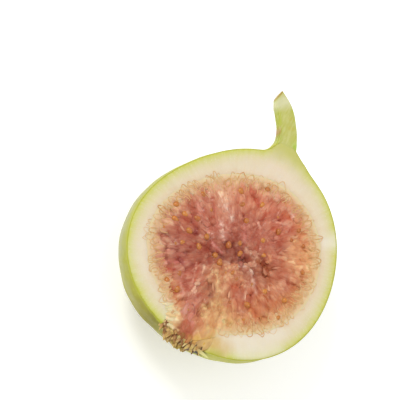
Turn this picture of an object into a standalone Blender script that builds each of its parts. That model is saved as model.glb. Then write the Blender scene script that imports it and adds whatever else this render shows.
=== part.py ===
"""Half of a fresh green fig, cut lengthwise, lying on its rounded back with the cut face up.

Metres, +Z up. The cut face is level, the stem points along +Y and the eye along -Y. The origin is the middle
of the small flat spot under the fruit. Four pieces: the rind, the pulp inside it, the stem and the eye scales.
Run with: blender --background --python part.py
"""

import math
import random

import bmesh
import bpy
from mathutils import Matrix, Vector

MM = 0.001
FULL_TURN = 2 * math.pi
GOLDEN_ANGLE = math.pi * (3 - math.sqrt(5))
SEED = 11

# Clearance between neighbouring pieces.
GAP = 0.3 * MM

# The fruit. Lobes are (waves round the outline, height, direction of the first crest in degrees).
CUT_HEIGHT = 25.8 * MM
FRUIT_DEPTH = 26.4 * MM
FRUIT_RADIUS = 26.0 * MM
FRUIT_LOBES = ((1, 0.3 * MM, -72), (2, 1.1 * MM, 54), (3, 0.9 * MM, -39))
BELLY = 1.1 * MM
RIM_ROUND = 0.4 * MM
RIB_COUNT = 15
RIB_HEIGHT = 0.22 * MM

# The neck that the fruit draws out towards its stem, and the level where the stem takes over.
NECK_DIRECTION = math.radians(91)
NECK_DIP = math.radians(3.3)
NECK_WIDTH = math.radians(10)
NECK_HEIGHT = 5.4 * MM
NECK_END = 29.3 * MM

# The cavity in the rind, which the pulp fills.
CAVITY_RADIUS = 20.9 * MM
CAVITY_LOBES = ((1, 0.4 * MM, -76), (2, 1.5 * MM, 33), (3, 0.4 * MM, -43))
CAVITY_DEPTH = 20.4 * MM
CAVITY_LIP = 0.25 * MM

# The eye, a half-round channel through the rind at the end away from the stem.
EYE_X = -2.1 * MM
EYE_HALF_WIDTH = 6.6 * MM
EYE_DEPTH = 5.2 * MM
EYE_INNER_Y = -20.6 * MM
EYE_OUTER_Y = -26.0 * MM

# The grid of the fruit: closer together at the neck and at the eye.
AROUND = 72
CROWDING = 0.35
OUTER_DIPS = (3, 8, 14, 21, 29, 37, 46, 55, 64)
CAVITY_DIPS = (6, 13, 21, 30, 40, 51, 63, 76)

# The pulp: plump florets that point at the middle, and seeds between them.
BED_DROP = 1.7 * MM
WALL_FLORETS = 40
INNER_FLORETS = 78
FLORET_LENGTH = 6.0 * MM
FLORET_WIDTH = 2.9 * MM
FLORET_THICKNESS = 2.6 * MM
FLORET_SINK = 1.1 * MM
SEED_COUNT = 32
SEED_LENGTH = 2.0 * MM
SEED_WIDTH = 1.6 * MM
SEED_THICKNESS = 2.6 * MM
SEED_SINK = 0.5 * MM

# The stem: a bent half stem with its cut side up, as points of a quadratic curve on the cut face.
STEM_CURVE = ((-0.3 * MM, NECK_END + GAP), (-1.1 * MM, 34.9 * MM), (-7.5 * MM, 39.3 * MM))
STEM_STATIONS = ((0.0, 3.1 * MM), (0.1, 2.9 * MM), (0.28, 2.75 * MM), (0.46, 2.75 * MM), (0.64, 2.7 * MM),
                 (0.82, 2.45 * MM), (1.0, 1.8 * MM))
STEM_END_SLANT = math.radians(28)
STEM_SIDES = 11

# The bracts that close the eye: rows are (number, radius, root level, lean towards the middle in degrees).
SCALE_LENGTH = 3.7 * MM
SCALE_WIDTH = 3.2 * MM
SCALE_THICKNESS = 0.8 * MM
SCALE_SINK = 0.9 * MM
SCALE_SQUASH = 0.66
SCALE_ROWS = ((7, 4.4 * MM, -23.5 * MM, 20), (5, 2.9 * MM, -24.2 * MM, 22), (3, 1.4 * MM, -24.8 * MM, 12))
# The bracts that the knife laid bare on the cut face: (number, root level, heading, fan between neighbours).
LAID_SCALES = ((4, -22.6 * MM, -90, 13), (4, -24.6 * MM, 90, 6))


def clear_scene():
    """Remove every object of the start-up scene."""
    for item in list(bpy.data.objects):
        bpy.data.objects.remove(item, do_unlink=True)


def make_material(name, colour, roughness):
    """Return a Principled material of one plain colour."""
    material = bpy.data.materials.new(name)
    material.use_nodes = True
    shader = material.node_tree.nodes["Principled BSDF"]
    shader.inputs["Base Color"].default_value = (*colour, 1.0)
    shader.inputs["Roughness"].default_value = roughness
    shader.inputs["Metallic"].default_value = 0.0
    material.diffuse_color = (*colour, 1.0)
    return material


def make_object(name, bm, material, smooth=True):
    """Turn a bmesh into a linked object with one material and its faces turned outwards."""
    bmesh.ops.recalc_face_normals(bm, faces=bm.faces)
    mesh = bpy.data.meshes.new(name)
    bm.to_mesh(mesh)
    bm.free()
    mesh.materials.append(material)
    mesh.polygons.foreach_set("use_smooth", [smooth] * len(mesh.polygons))
    item = bpy.data.objects.new(name, mesh)
    bpy.context.scene.collection.objects.link(item)
    return item


def skin_rings(bm, rings):
    """Join closed rings of points one to the next, and cap the first and the last."""
    loops = [[bm.verts.new(point) for point in ring] for ring in rings]
    for lower, upper in zip(loops, loops[1:]):
        for i in range(len(lower)):
            j = (i + 1) % len(lower)
            bm.faces.new((lower[i], lower[j], upper[j], upper[i]))
    bm.faces.new(reversed(loops[0]))
    bm.faces.new(loops[-1])


def lobes(angle, waves):
    """Return the sum of the waves of an outline at one angle."""
    return sum(height * math.cos(count * (angle - math.radians(crest))) for count, height, crest in waves)


def grid_angles():
    """Return the angles of the fruit's grid, crowded towards the neck and the eye."""
    even = [FULL_TURN * i / AROUND for i in range(AROUND)]
    return [t - CROWDING / 2 * math.sin(2 * (t - NECK_DIRECTION)) for t in even]


def neck_rise(angle, dip):
    """Return how far the neck lifts the outer skin, by its distance from the neck's direction."""
    cosine = (math.cos(dip) * math.cos(NECK_DIP) * math.cos(angle - NECK_DIRECTION)
              + math.sin(dip) * math.sin(NECK_DIP))
    apart = math.acos(max(-1.0, min(1.0, cosine)))
    return NECK_HEIGHT * math.exp(-(apart / NECK_WIDTH) ** 2)


def rib_rise(angle, dip):
    """Return the height of the shallow ribs that run from the stem to the eye."""
    across = math.cos(dip) * math.cos(angle)
    down = math.sin(dip)
    turn = math.atan2(down, across)
    return RIB_HEIGHT * math.hypot(across, down) * math.cos(dip) ** 2 * math.cos(RIB_COUNT * turn)


def skin_point(angle, dip):
    """Return a point of the outer skin, dip being the angle down from the cut face."""
    radius = FRUIT_RADIUS + lobes(angle, FRUIT_LOBES) * math.cos(dip) + rib_rise(angle, dip)
    radius += neck_rise(angle, dip) + BELLY * math.sin(2 * dip)
    reach = radius * math.cos(dip)
    y = min(reach * math.sin(angle), NECK_END)
    z = CUT_HEIGHT - FRUIT_DEPTH * math.sin(dip)
    return Vector((reach * math.cos(angle), y, z))


def cavity_point(angle, dip, inset=0.0):
    """Return a point of the cavity's wall, moved inwards by the inset."""
    radius = CAVITY_RADIUS + lobes(angle, CAVITY_LOBES) * math.cos(dip) - inset
    reach = radius * math.cos(dip)
    z = CUT_HEIGHT - (CAVITY_DEPTH - inset) * math.sin(dip)
    return Vector((reach * math.cos(angle), reach * math.sin(angle), z))


def foot_ring(angles):
    """Return the edge of the flat spot, where the skin reaches the resting level."""
    dip = math.asin(CUT_HEIGHT / FRUIT_DEPTH)
    return [Vector((*skin_point(angle, dip).xy, 0.0)) for angle in angles]


def build_rind(material):
    """Model the rind: the skin outside, the cut ring on top and the cavity inside, with the eye cut through."""
    angles = grid_angles()
    rings = [foot_ring(angles)]
    rings += [[skin_point(a, math.radians(dip)) for a in angles] for dip in reversed(OUTER_DIPS)]
    rim = [skin_point(a, 0.0) for a in angles]
    lip = [cavity_point(a, 0.0) for a in angles]
    rings.append([Vector((*p.xy, CUT_HEIGHT - RIM_ROUND)) for p in rim])
    rings.append([Vector((*(p.xy * (1 - RIM_ROUND / p.xy.length)), CUT_HEIGHT)) for p in rim])
    rings.append([p.lerp(q, 0.6) for p, q in zip(rim, lip)])
    rings.append([Vector((*p.xy, CUT_HEIGHT - CAVITY_LIP)) for p in lip])
    rings += [[cavity_point(a, math.radians(dip)) for a in angles] for dip in CAVITY_DIPS]
    bm = bmesh.new()
    skin_rings(bm, rings)
    rind = make_object("rind", bm, material)
    cut_with(rind, eye_channel())
    return rind


def eye_section(y, share):
    """Return the outline of the eye's half-round channel at one level, shrunk to a share of its size."""
    points = []
    for i in range(13):
        turn = math.pi * (1 + i / 12)
        x = EYE_X + share * EYE_HALF_WIDTH * math.cos(turn)
        z = CUT_HEIGHT + share * EYE_DEPTH * math.sin(turn)
        points.append(Vector((x, y, z)))
    return points


def eye_channel():
    """Return the cutter for the eye: the half-round channel, run on above the cut face and past both ends."""
    bm = bmesh.new()
    rings = []
    for y in (EYE_INNER_Y + 5 * MM, EYE_OUTER_Y - 6 * MM):
        ring = eye_section(y, 1.0)
        left, right = ring[0], ring[-1]
        ring += [right + Vector((0, 0, 3 * MM)), left + Vector((0, 0, 3 * MM))]
        rings.append(ring)
    skin_rings(bm, rings)
    return make_object("eye_cutter", bm, bpy.data.materials[0])


def cut_with(item, cutter):
    """Take the cutter away from an object with a Boolean modifier that stays on it."""
    cutter.hide_render = True
    cutter.display_type = "WIRE"
    cut = item.modifiers.new("eye_channel", "BOOLEAN")
    cut.operation = "DIFFERENCE"
    cut.solver = "EXACT"
    cut.object = cutter


def drop_points(length, width, thickness, sides=5):
    """Return the rings of a drop along X: a blunt outer end at -X and a slimmer inner end at +X."""
    stations = ((-0.5, 0.45), (-0.1, 1.0), (0.5, 0.25))
    rings = []
    for along, share in stations:
        ring = []
        for i in range(sides):
            turn = FULL_TURN * i / sides
            ring.append(Vector((along * length, share * width / 2 * math.cos(turn),
                                share * thickness / 2 * math.sin(turn))))
        rings.append(ring)
    return rings


def add_drop(name, collection, place, turn, pitch, size, material):
    """Add one drop to a collection, turned about Z and tipped, and return it."""
    bm = bmesh.new()
    skin_rings(bm, drop_points(*size))
    bmesh.ops.transform(bm, matrix=Matrix.Rotation(turn, 4, "Z") @ Matrix.Rotation(pitch, 4, "Y"), verts=bm.verts)
    bmesh.ops.translate(bm, vec=place, verts=bm.verts)
    item = make_object(name, bm, material)
    bpy.context.scene.collection.objects.unlink(item)
    collection.objects.link(item)
    return item


def islands_of(bm):
    """Return the sets of vertices that hang together."""
    left = set(bm.verts)
    islands = []
    while left:
        island = set()
        edge = [left.pop()]
        while edge:
            vert = edge.pop()
            island.add(vert)
            near = [e.other_vert(vert) for e in vert.link_edges]
            fresh = [v for v in near if v in left]
            left.difference_update(fresh)
            edge.extend(fresh)
        islands.append(island)
    return islands


def keep_main_skin(mesh):
    """Fill the hollows that a union seals and drop its loose scrap, by keeping only the largest skin."""
    bm = bmesh.new()
    bm.from_mesh(mesh)
    for island in sorted(islands_of(bm), key=len)[:-1]:
        bmesh.ops.delete(bm, geom=list(island), context="VERTS")
    bm.to_mesh(mesh)
    bm.free()


def fuse(item, collection):
    """Union a collection into an object, keep the result as its mesh and remove the collection."""
    join = item.modifiers.new("fuse", "BOOLEAN")
    join.operation = "UNION"
    join.operand_type = "COLLECTION"
    join.solver = "MANIFOLD"
    join.collection = collection
    graph = bpy.context.evaluated_depsgraph_get()
    fused = bpy.data.meshes.new_from_object(item.evaluated_get(graph))
    keep_main_skin(fused)
    item.modifiers.clear()
    item.data = fused
    for member in list(collection.objects):
        bpy.data.objects.remove(member, do_unlink=True)
    bpy.data.collections.remove(collection)


def new_collection(name):
    """Return a new collection linked to the scene."""
    collection = bpy.data.collections.new(name)
    bpy.context.scene.collection.children.link(collection)
    return collection


def pulp_reach(angle):
    """Return how far the pulp reaches from the middle on the cut face."""
    reach = cavity_point(angle, 0.0, GAP).xy.length
    if math.sin(angle) < 0:
        reach = min(reach, (EYE_INNER_Y + GAP) / math.sin(angle))
    return reach


def pulp_wall(angle, dip):
    """Return a point of the pulp's wall, clear of the cavity and of the plug in the eye."""
    point = cavity_point(angle, dip, GAP)
    point.y = max(point.y, EYE_INNER_Y + GAP)
    return point


def floret_spots():
    """Return the florets' directions and their share of the way to the wall: a row along it, then a spiral."""
    along_wall = [(FULL_TURN * i / WALL_FLORETS, 1.0) for i in range(WALL_FLORETS)]
    inside = [(i * GOLDEN_ANGLE, 0.88 * math.sqrt((i + 0.5) / INNER_FLORETS)) for i in range(INNER_FLORETS)]
    return along_wall + inside


def add_florets(collection, rng, material):
    """Lay the florets over the bed, each pointing at the middle."""
    for i, (turn, share) in enumerate(floret_spots()):
        reach = share * (pulp_reach(turn) - FLORET_LENGTH / 2)
        level = CUT_HEIGHT - FLORET_SINK + rng.uniform(-0.35, 0.35) * MM
        place = Vector((reach * math.cos(turn), reach * math.sin(turn), level))
        heading = turn + math.pi + rng.uniform(-0.4, 0.4)
        size = (FLORET_LENGTH * rng.uniform(0.8, 1.0), FLORET_WIDTH * rng.uniform(0.85, 1.1), FLORET_THICKNESS)
        add_drop(f"floret_{i}", collection, place, heading, rng.uniform(-0.12, 0.2), size, material)


def add_seeds(collection, rng, material):
    """Set the seeds between the florets on a wider spiral, half sunk."""
    for i in range(SEED_COUNT):
        turn = i * GOLDEN_ANGLE + 0.7
        reach = 0.86 * pulp_reach(turn) * math.sqrt((i + 0.6) / SEED_COUNT)
        level = CUT_HEIGHT - SEED_SINK + rng.uniform(-0.1, 0.15) * MM
        place = Vector((reach * math.cos(turn), reach * math.sin(turn), level))
        size = (SEED_LENGTH, SEED_WIDTH, SEED_THICKNESS)
        add_drop(f"seed_{i}", collection, place, rng.uniform(0, FULL_TURN), 0.0, size, material)


def build_pulp(material):
    """Model the pulp: a body that fills the cavity, with the florets and seeds fused into its top."""
    angles = grid_angles()
    rings = [[pulp_wall(a, math.radians(dip)) for a in angles] for dip in reversed(CAVITY_DIPS)]
    bed_dip = math.asin(BED_DROP / CAVITY_DEPTH)
    edge = [pulp_wall(a, bed_dip) for a in angles]
    rings = [ring for ring in rings if ring[0].z < edge[0].z - 0.2 * MM] + [edge]
    bm = bmesh.new()
    skin_rings(bm, rings)
    pulp = make_object("pulp", bm, material)
    rng = random.Random(SEED)
    tops = new_collection("pulp_tops")
    add_florets(tops, rng, material)
    add_seeds(tops, rng, material)
    fuse(pulp, tops)
    return pulp


def stem_centre(t):
    """Return a point of the stem's curve on the cut face, and the direction of the curve there."""
    start, bend, end = (Vector(p) for p in STEM_CURVE)
    place = start * (1 - t) ** 2 + bend * 2 * t * (1 - t) + end * t ** 2
    heading = (bend - start) * (1 - t) + (end - bend) * t
    return place, heading.normalized()


def stem_section(t, radius):
    """Return one section of the stem: a round with its top cut off level by the knife."""
    place, heading = stem_centre(t)
    if t == 0.0:
        heading = Vector((0.0, 1.0))
    side = Vector((heading.y, -heading.x))
    slant = math.tan(STEM_END_SLANT) if t == 1.0 else 0.0
    first, last = math.radians(30), math.radians(-210)
    points = []
    for i in range(STEM_SIDES):
        turn = first + (last - first) * i / (STEM_SIDES - 1)
        across = radius * math.cos(turn)
        spot = place + side * across + heading * across * slant
        points.append(Vector((*spot, CUT_HEIGHT + radius * (math.sin(turn) - 0.5))))
    return points


def build_stem(material):
    """Model the stem as rings along its curve, ending in a slanted cut."""
    bm = bmesh.new()
    skin_rings(bm, [stem_section(t, radius) for t, radius in STEM_STATIONS])
    return make_object("stem", bm, material)


def scale_rings():
    """Return the rings of one bract along X, a blade that widens from its root and ends in a blunt tip."""
    rings = []
    for along, share in ((0.0, 0.55), (0.35, 1.0), (0.7, 0.85), (1.0, 0.3)):
        half = share * SCALE_WIDTH / 2
        lift = 0.5 * MM * math.sin(math.pi * along)
        low, high = lift - SCALE_THICKNESS / 2, lift + SCALE_THICKNESS / 2
        x = along * SCALE_LENGTH
        rings.append([Vector((x, -half, low)), Vector((x, half, low)), Vector((x, half * 0.8, high)),
                      Vector((x, -half * 0.8, high))])
    return rings


def add_scale(name, collection, root, along, outward, material):
    """Add one bract to a collection, with its root, the way it points and the side its back faces."""
    bm = bmesh.new()
    skin_rings(bm, scale_rings())
    across = outward.cross(along).normalized()
    basis = Matrix((along, across, along.cross(across))).transposed().to_4x4()
    bmesh.ops.transform(bm, matrix=Matrix.Translation(root) @ basis, verts=bm.verts)
    item = make_object(name, bm, material, smooth=False)
    bpy.context.scene.collection.objects.unlink(item)
    collection.objects.link(item)


def add_mouth_scales(collection, material):
    """Add the rows of bracts round the lower half of the eye, leaning over its mouth."""
    for row, (count, radius, level, lean) in enumerate(SCALE_ROWS):
        for i in range(count):
            turn = math.pi + math.pi * (i + 0.5) / count
            outward = Vector((math.cos(turn), 0.0, math.sin(turn)))
            along = Vector((0.0, -1.0, 0.0)) * math.cos(math.radians(lean)) - outward * math.sin(math.radians(lean))
            root = Vector((EYE_X + radius * outward.x, level,
                           CUT_HEIGHT - SCALE_SINK + SCALE_SQUASH * radius * outward.z))
            add_scale(f"bract_{row}_{i}", collection, root, along, outward, material)


def add_laid_scales(collection, material):
    """Add the bracts that lie bare on the cut face, fanned outwards and inwards."""
    for count, level, heading, fan in LAID_SCALES:
        for i in range(count):
            place = i - (count - 1) / 2
            turn = math.radians(heading + math.copysign(fan, -heading) * place)
            along = Vector((math.cos(turn), math.sin(turn), 0.0))
            root = Vector((EYE_X + 2.6 * MM * place, level, CUT_HEIGHT - 0.3 * MM))
            add_scale(f"laid_{heading}_{i}", collection, root, along, Vector((0, 0, 1)), material)


def build_eye_scales(material):
    """Model the plug that fills the eye's channel and the rows of bracts that stand out of its mouth."""
    fit = 1 - GAP / EYE_DEPTH
    levels = ((EYE_INNER_Y, fit), (EYE_OUTER_Y + 2.2 * MM, fit), (EYE_OUTER_Y + 0.8 * MM, 0.86 * fit),
              (EYE_OUTER_Y - 0.2 * MM, 0.6 * fit), (EYE_OUTER_Y - 0.7 * MM, 0.25 * fit))
    bm = bmesh.new()
    skin_rings(bm, [eye_section(y, share) for y, share in levels])
    eye_scales = make_object("eye_scales", bm, material)
    bracts = new_collection("bracts")
    add_mouth_scales(bracts, material)
    add_laid_scales(bracts, material)
    fuse(eye_scales, bracts)
    return eye_scales


def main():
    """Build the half fig."""
    clear_scene()
    rind_finish = make_material("rind_finish", (0.56, 0.58, 0.22), 0.45)
    pulp_finish = make_material("pulp_finish", (0.50, 0.16, 0.10), 0.3)
    stem_finish = make_material("stem_finish", (0.42, 0.50, 0.16), 0.5)
    scale_finish = make_material("scale_finish", (0.62, 0.45, 0.24), 0.55)
    build_rind(rind_finish)
    build_pulp(pulp_finish)
    build_stem(stem_finish)
    build_eye_scales(scale_finish)


main()
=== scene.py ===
"""Looks of the fresh fig half: skin and cut rind, florets, seeds, stem and eye, in soft studio light."""

import logging
import math
from dataclasses import dataclass, field
from enum import Enum
from typing import Any, Optional, Sequence

import bpy
import numpy as np
from mathutils import Matrix, Vector


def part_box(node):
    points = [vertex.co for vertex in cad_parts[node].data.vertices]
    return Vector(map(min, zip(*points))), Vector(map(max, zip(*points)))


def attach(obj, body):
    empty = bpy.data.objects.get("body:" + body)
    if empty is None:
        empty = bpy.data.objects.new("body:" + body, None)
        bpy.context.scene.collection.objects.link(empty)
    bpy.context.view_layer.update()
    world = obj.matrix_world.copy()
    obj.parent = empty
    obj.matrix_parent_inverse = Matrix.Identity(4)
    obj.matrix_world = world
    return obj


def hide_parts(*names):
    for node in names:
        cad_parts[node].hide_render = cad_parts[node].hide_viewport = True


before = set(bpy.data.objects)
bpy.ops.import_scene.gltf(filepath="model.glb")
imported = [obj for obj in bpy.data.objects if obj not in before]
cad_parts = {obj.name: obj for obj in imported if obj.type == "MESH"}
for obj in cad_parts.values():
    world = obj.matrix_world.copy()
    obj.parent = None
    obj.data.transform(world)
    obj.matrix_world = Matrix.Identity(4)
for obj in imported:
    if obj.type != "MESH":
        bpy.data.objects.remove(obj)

LOG = logging.getLogger("fig")
MM = 0.001
CORE = 9 * MM
FULL_TURN = 2 * math.pi
GOLDEN_ANGLE = math.pi * (3 - math.sqrt(5))

Colour = tuple[float, float, float]


def linear(colour: Colour) -> tuple[float, float, float, float]:
    """Turn a colour given in screen values of 0 to 255 into linear light.

    Args:
        colour: Red, green and blue as seen on a screen.

    Returns:
        Linear red, green, blue and an alpha of 1.
    """
    values = [c / 255 for c in colour]
    return (*[v / 12.92 if v <= 0.04045 else ((v + 0.055) / 1.055) ** 2.4 for v in values], 1.0)


def linear_array(colours: Sequence[Colour]) -> np.ndarray:
    """Turn a list of screen colours into an array of linear ones.

    Args:
        colours: Screen colours of 0 to 255.

    Returns:
        An array with one row of red, green and blue for each.
    """
    return np.array([linear(c)[:3] for c in colours])


def rays(angle: np.ndarray) -> np.ndarray:
    """Return the unit directions of angles round the fruit, with a last axis of x and y."""
    return np.stack([np.cos(angle), np.sin(angle)], axis=-1)


def on_plane(x: np.ndarray, y: np.ndarray) -> np.ndarray:
    """Return points at a height of zero, for patterns that are read by place on the cut face."""
    return np.stack([x, y, 0 * x], axis=-1)


# Shape


@dataclass(frozen=True)
class FruitForm:
    """The half fruit as formulas: its skin, its cavity and the middle of its eye."""

    cut: float
    depth: float = 26.4 * MM
    radius: float = 26.0 * MM
    lobes: tuple = ((1, 0.3 * MM, -72), (2, 1.1 * MM, 54), (3, 0.9 * MM, -39))
    belly: float = 1.1 * MM
    rib_count: int = 15
    rib_height: float = 0.2 * MM
    neck_direction: float = math.radians(91)
    neck_dip: float = math.radians(3.3)
    neck_width: float = math.radians(5.6)
    neck_skew: float = math.radians(5.6)
    neck_height: float = 4.9 * MM
    neck_end: float = 31.0 * MM
    cavity_radius: float = 20.9 * MM
    cavity_lobes: tuple = ((1, 0.4 * MM, -76), (2, 1.5 * MM, 33), (3, 0.4 * MM, -43))
    cavity_depth: float = 20.4 * MM
    eye: tuple = (-2.1 * MM, -25.9 * MM)
    eye_direction: float = math.radians(-97)
    eye_spread: float = math.radians(17)
    eye_tongue: float = 4.9 * MM
    edge_round: float = 0.3 * MM
    lip: float = 0.9 * MM

    @staticmethod
    def wave(angle: np.ndarray, lobes: tuple) -> np.ndarray:
        """Return the sum of the lobes of an outline at each angle."""
        return sum(height * np.cos(count * (angle - math.radians(crest))) for count, height, crest in lobes)

    def ribs(self, angle: np.ndarray, dip: np.ndarray) -> np.ndarray:
        """Return the rise of the shallow ribs that run from the stem to the eye."""
        across = np.cos(dip) * np.cos(angle)
        down = np.sin(dip)
        turn = np.arctan2(down, across)
        uneven = self.rib_count * turn + 0.9 * np.sin(3.1 * turn + 0.7)
        return self.rib_height * np.hypot(across, down) * np.cos(dip) ** 2 * np.cos(uneven)

    def neck(self, angle: np.ndarray, dip: np.ndarray) -> np.ndarray:
        """Return how far the neck draws the skin out towards the stem."""
        cosine = np.cos(dip) * math.cos(self.neck_dip) * np.cos(angle - self.neck_direction)
        cosine = cosine + np.sin(dip) * math.sin(self.neck_dip)
        apart = np.arccos(np.clip(cosine, -1.0, 1.0))
        aside = np.angle(np.exp(1j * (self.neck_direction - angle))) / math.radians(20)
        width = self.neck_width + self.neck_skew * np.clip(0.3 + aside, 0, 1)
        return self.neck_height * np.exp(-(apart / width) ** 2)

    def skin(self, angle: np.ndarray, dip: np.ndarray) -> np.ndarray:
        """Return points of the skin.

        Args:
            angle: Directions round the fruit in radians.
            dip: Angles down from the cut face in radians.

        Returns:
            Points with a last axis of x, y and z.
        """
        radius = self.radius + self.wave(angle, self.lobes) * np.cos(dip) + self.ribs(angle, dip)
        radius = radius + self.neck(angle, dip) + self.belly * np.sin(2 * dip)
        reach = radius * np.cos(dip)
        y = np.minimum(reach * np.sin(angle), self.neck_end)
        z = np.maximum(self.cut - self.depth * np.sin(dip), 0.0)
        return np.stack([reach * np.cos(angle), y, z + 0 * angle], axis=-1)

    def rim_reach(self, angle: np.ndarray) -> np.ndarray:
        """Return how far the skin reaches from the middle on the cut face."""
        points = self.skin(angle, np.zeros_like(angle))
        return np.hypot(points[..., 0], points[..., 1])

    def cavity_reach(self, angle: np.ndarray) -> np.ndarray:
        """Return how far the pulp reaches from the middle on the cut face."""
        return self.cavity_radius + self.wave(angle, self.cavity_lobes)

    def towards_eye(self, angle: np.ndarray) -> np.ndarray:
        """Return 1 in the direction of the eye, fading to 0 on both sides of it."""
        apart = np.angle(np.exp(1j * (angle - self.eye_direction)))
        return np.exp(-(apart / self.eye_spread) ** 2)

    def pulp_reach(self, angle: np.ndarray) -> np.ndarray:
        """Return how far the visible pulp reaches, with the tongue that runs into the eye."""
        return self.cavity_reach(angle) + self.eye_tongue * self.towards_eye(angle)

    def spiral(self, count: int, start: float, reach: float) -> np.ndarray:
        """Return places spread evenly over the pulp, on a spiral out to a share of its reach."""
        i = np.arange(count)
        turn = i * GOLDEN_ANGLE + start
        return rays(turn) * (self.pulp_reach(turn) * reach * np.sqrt((i + 0.5) / count))[:, None]

    def share(self, x: np.ndarray, y: np.ndarray) -> np.ndarray:
        """Return the distance from the middle as a share of the pulp's reach in that direction."""
        return np.hypot(x, y) / self.pulp_reach(np.arctan2(y, x))

    def cut_height(self, x: np.ndarray, y: np.ndarray) -> np.ndarray:
        """Return the height of the rind's cut face, which falls a little and waves towards the pulp."""
        angle, reach = np.arctan2(y, x), np.hypot(x, y)
        outer = self.rim_reach(angle) - self.edge_round
        step = np.clip((outer - reach) / (outer - self.cavity_reach(angle) + self.lip), 0, 1)
        relief = Ripples(8, 3.5 * MM).at(on_plane(x, y))
        return self.cut + 0.05 * MM * relief - 0.3 * MM * step ** 6

    def calm(self, x: np.ndarray, y: np.ndarray) -> np.ndarray:
        """Return how plain the pulp is at places: 0 inside it and 1 at its edge, except at the eye."""
        return np.clip((self.share(x, y) - 0.80) / 0.14, 0, 1) * (1 - self.towards_eye(np.arctan2(y, x)))


class Ripples:
    """Smooth seeded noise made of plane waves, the same in every run."""

    def __init__(self, seed: int, wavelength: float, waves: int = 24) -> None:
        """Draw the waves.

        Args:
            seed: Seed of the draw.
            wavelength: Middle wavelength, in the units of the points it is read at.
            waves: How many waves are summed.
        """
        rng = np.random.default_rng(seed)
        directions = rng.normal(size=(waves, 3))
        directions /= np.linalg.norm(directions, axis=1, keepdims=True)
        self.vectors = directions * (FULL_TURN / wavelength) * rng.uniform(0.6, 1.5, (waves, 1))
        self.phases = rng.uniform(0, FULL_TURN, waves)

    def at(self, points: np.ndarray) -> np.ndarray:
        """Return the noise at points, mostly between -1 and 1."""
        return np.cos(points @ self.vectors.T + self.phases).sum(axis=-1) * math.sqrt(2 / len(self.phases)) / 1.6


# Meshes


def linked(name: str, data: Any) -> bpy.types.Object:
    """Make an object of some data and link it to the scene."""
    item = bpy.data.objects.new(name, data)
    bpy.context.scene.collection.objects.link(item)
    return item


def write_mask(mesh: bpy.types.Mesh, name: str, values: np.ndarray) -> None:
    """Store a point attribute: a colour for rows called "tone", a vector for other rows, and a number otherwise.

    Args:
        mesh: The mesh that gets it.
        name: Name of the attribute.
        values: One value or row for each point.
    """
    kind, store = ("FLOAT", "value") if values.ndim == 1 else ("FLOAT_VECTOR", "vector")
    if values.ndim > 1 and name == "tone":
        kind, store = "FLOAT_COLOR", "color"
        values = np.concatenate([values, np.ones((len(values), 1))], axis=1)
    mesh.attributes.new(name, kind, "POINT").data.foreach_set(store, values.astype(np.float32).ravel())


def start_object(name: str, points: np.ndarray, masks: dict[str, np.ndarray]) -> bpy.types.Object:
    """Make an object of loose points, or of one line of edges for each strand, for a tree to work on.

    Args:
        name: Name of the object.
        points: Points as rows, or with axes of strand, step and x, y, z.
        masks: Point attributes by name, with the same first axes.

    Returns:
        The new object.
    """
    mesh = bpy.data.meshes.new(name)
    rows = points.reshape(-1, 3)
    mesh.vertices.add(len(rows))
    mesh.vertices.foreach_set("co", rows.astype(np.float32).ravel())
    if points.ndim == 3:
        first = np.arange(len(rows)).reshape(points.shape[:2])[:, :-1].ravel()
        mesh.edges.add(len(first))
        mesh.edges.foreach_set("vertices", np.stack([first, first + 1], axis=-1).astype(np.int32).ravel())
    mesh.update()
    for mask, values in masks.items():
        write_mask(mesh, mask, values.reshape(len(rows), *values.shape[points.ndim - 1:]))
    return linked(name, mesh)


@dataclass
class MeshBuffer:
    """Points, faces and point attributes gathered from many small shapes into one mesh."""

    points: list = field(default_factory=list)
    faces: list = field(default_factory=list)
    slots: list = field(default_factory=list)
    masks: dict = field(default_factory=dict)
    count: int = 0

    def add(self, points: np.ndarray, faces: np.ndarray, slot: Any = 0, **masks: np.ndarray) -> None:
        """Add one shape.

        Args:
            points: Points as rows of x, y and z.
            faces: Faces as rows of four point numbers, the last two equal in a triangle.
            slot: Material slot of its faces, or one for each face.
            **masks: A value, or a row of red, green and blue, for each point, by attribute name.
        """
        self.points.append(points)
        self.faces.append(faces + self.count)
        self.slots.append(np.full(len(faces), slot))
        for name, values in masks.items():
            self.masks.setdefault(name, []).append(np.asarray(values))
        self.count += len(points)

    def build(self, name: str, *materials: bpy.types.Material) -> bpy.types.Object:
        """Make the object.

        Args:
            name: Name of the object.
            *materials: Its materials, in slot order.

        Returns:
            The new object, linked to the scene.
        """
        faces = np.concatenate(self.faces)
        sizes = np.where(faces[:, 2] == faces[:, 3], 3, 4)
        mesh = bpy.data.meshes.new(name)
        mesh.vertices.add(self.count)
        mesh.vertices.foreach_set("co", np.concatenate(self.points).astype(np.float32).ravel())
        mesh.loops.add(int(sizes.sum()))
        mesh.loops.foreach_set("vertex_index", faces[np.arange(4) < sizes[:, None]].astype(np.int32))
        mesh.polygons.add(len(faces))
        mesh.polygons.foreach_set("loop_start", (np.cumsum(sizes) - sizes).astype(np.int32))
        mesh.polygons.foreach_set("material_index", np.concatenate(self.slots).astype(np.int32))
        mesh.polygons.foreach_set("use_smooth", np.ones(len(faces), bool))
        mesh.update(calc_edges=True)
        for mask, parts in self.masks.items():
            write_mask(mesh, mask, np.concatenate(parts))
        for material in materials:
            mesh.materials.append(material)
        return linked(name, mesh)


def fan(ring: np.ndarray, tip: int) -> np.ndarray:
    """Return the triangles from each pair of neighbours in a ring of point numbers to a tip."""
    tips = np.full(len(ring), tip)
    return np.stack([ring, np.roll(ring, -1), tips, tips], axis=-1)


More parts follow.
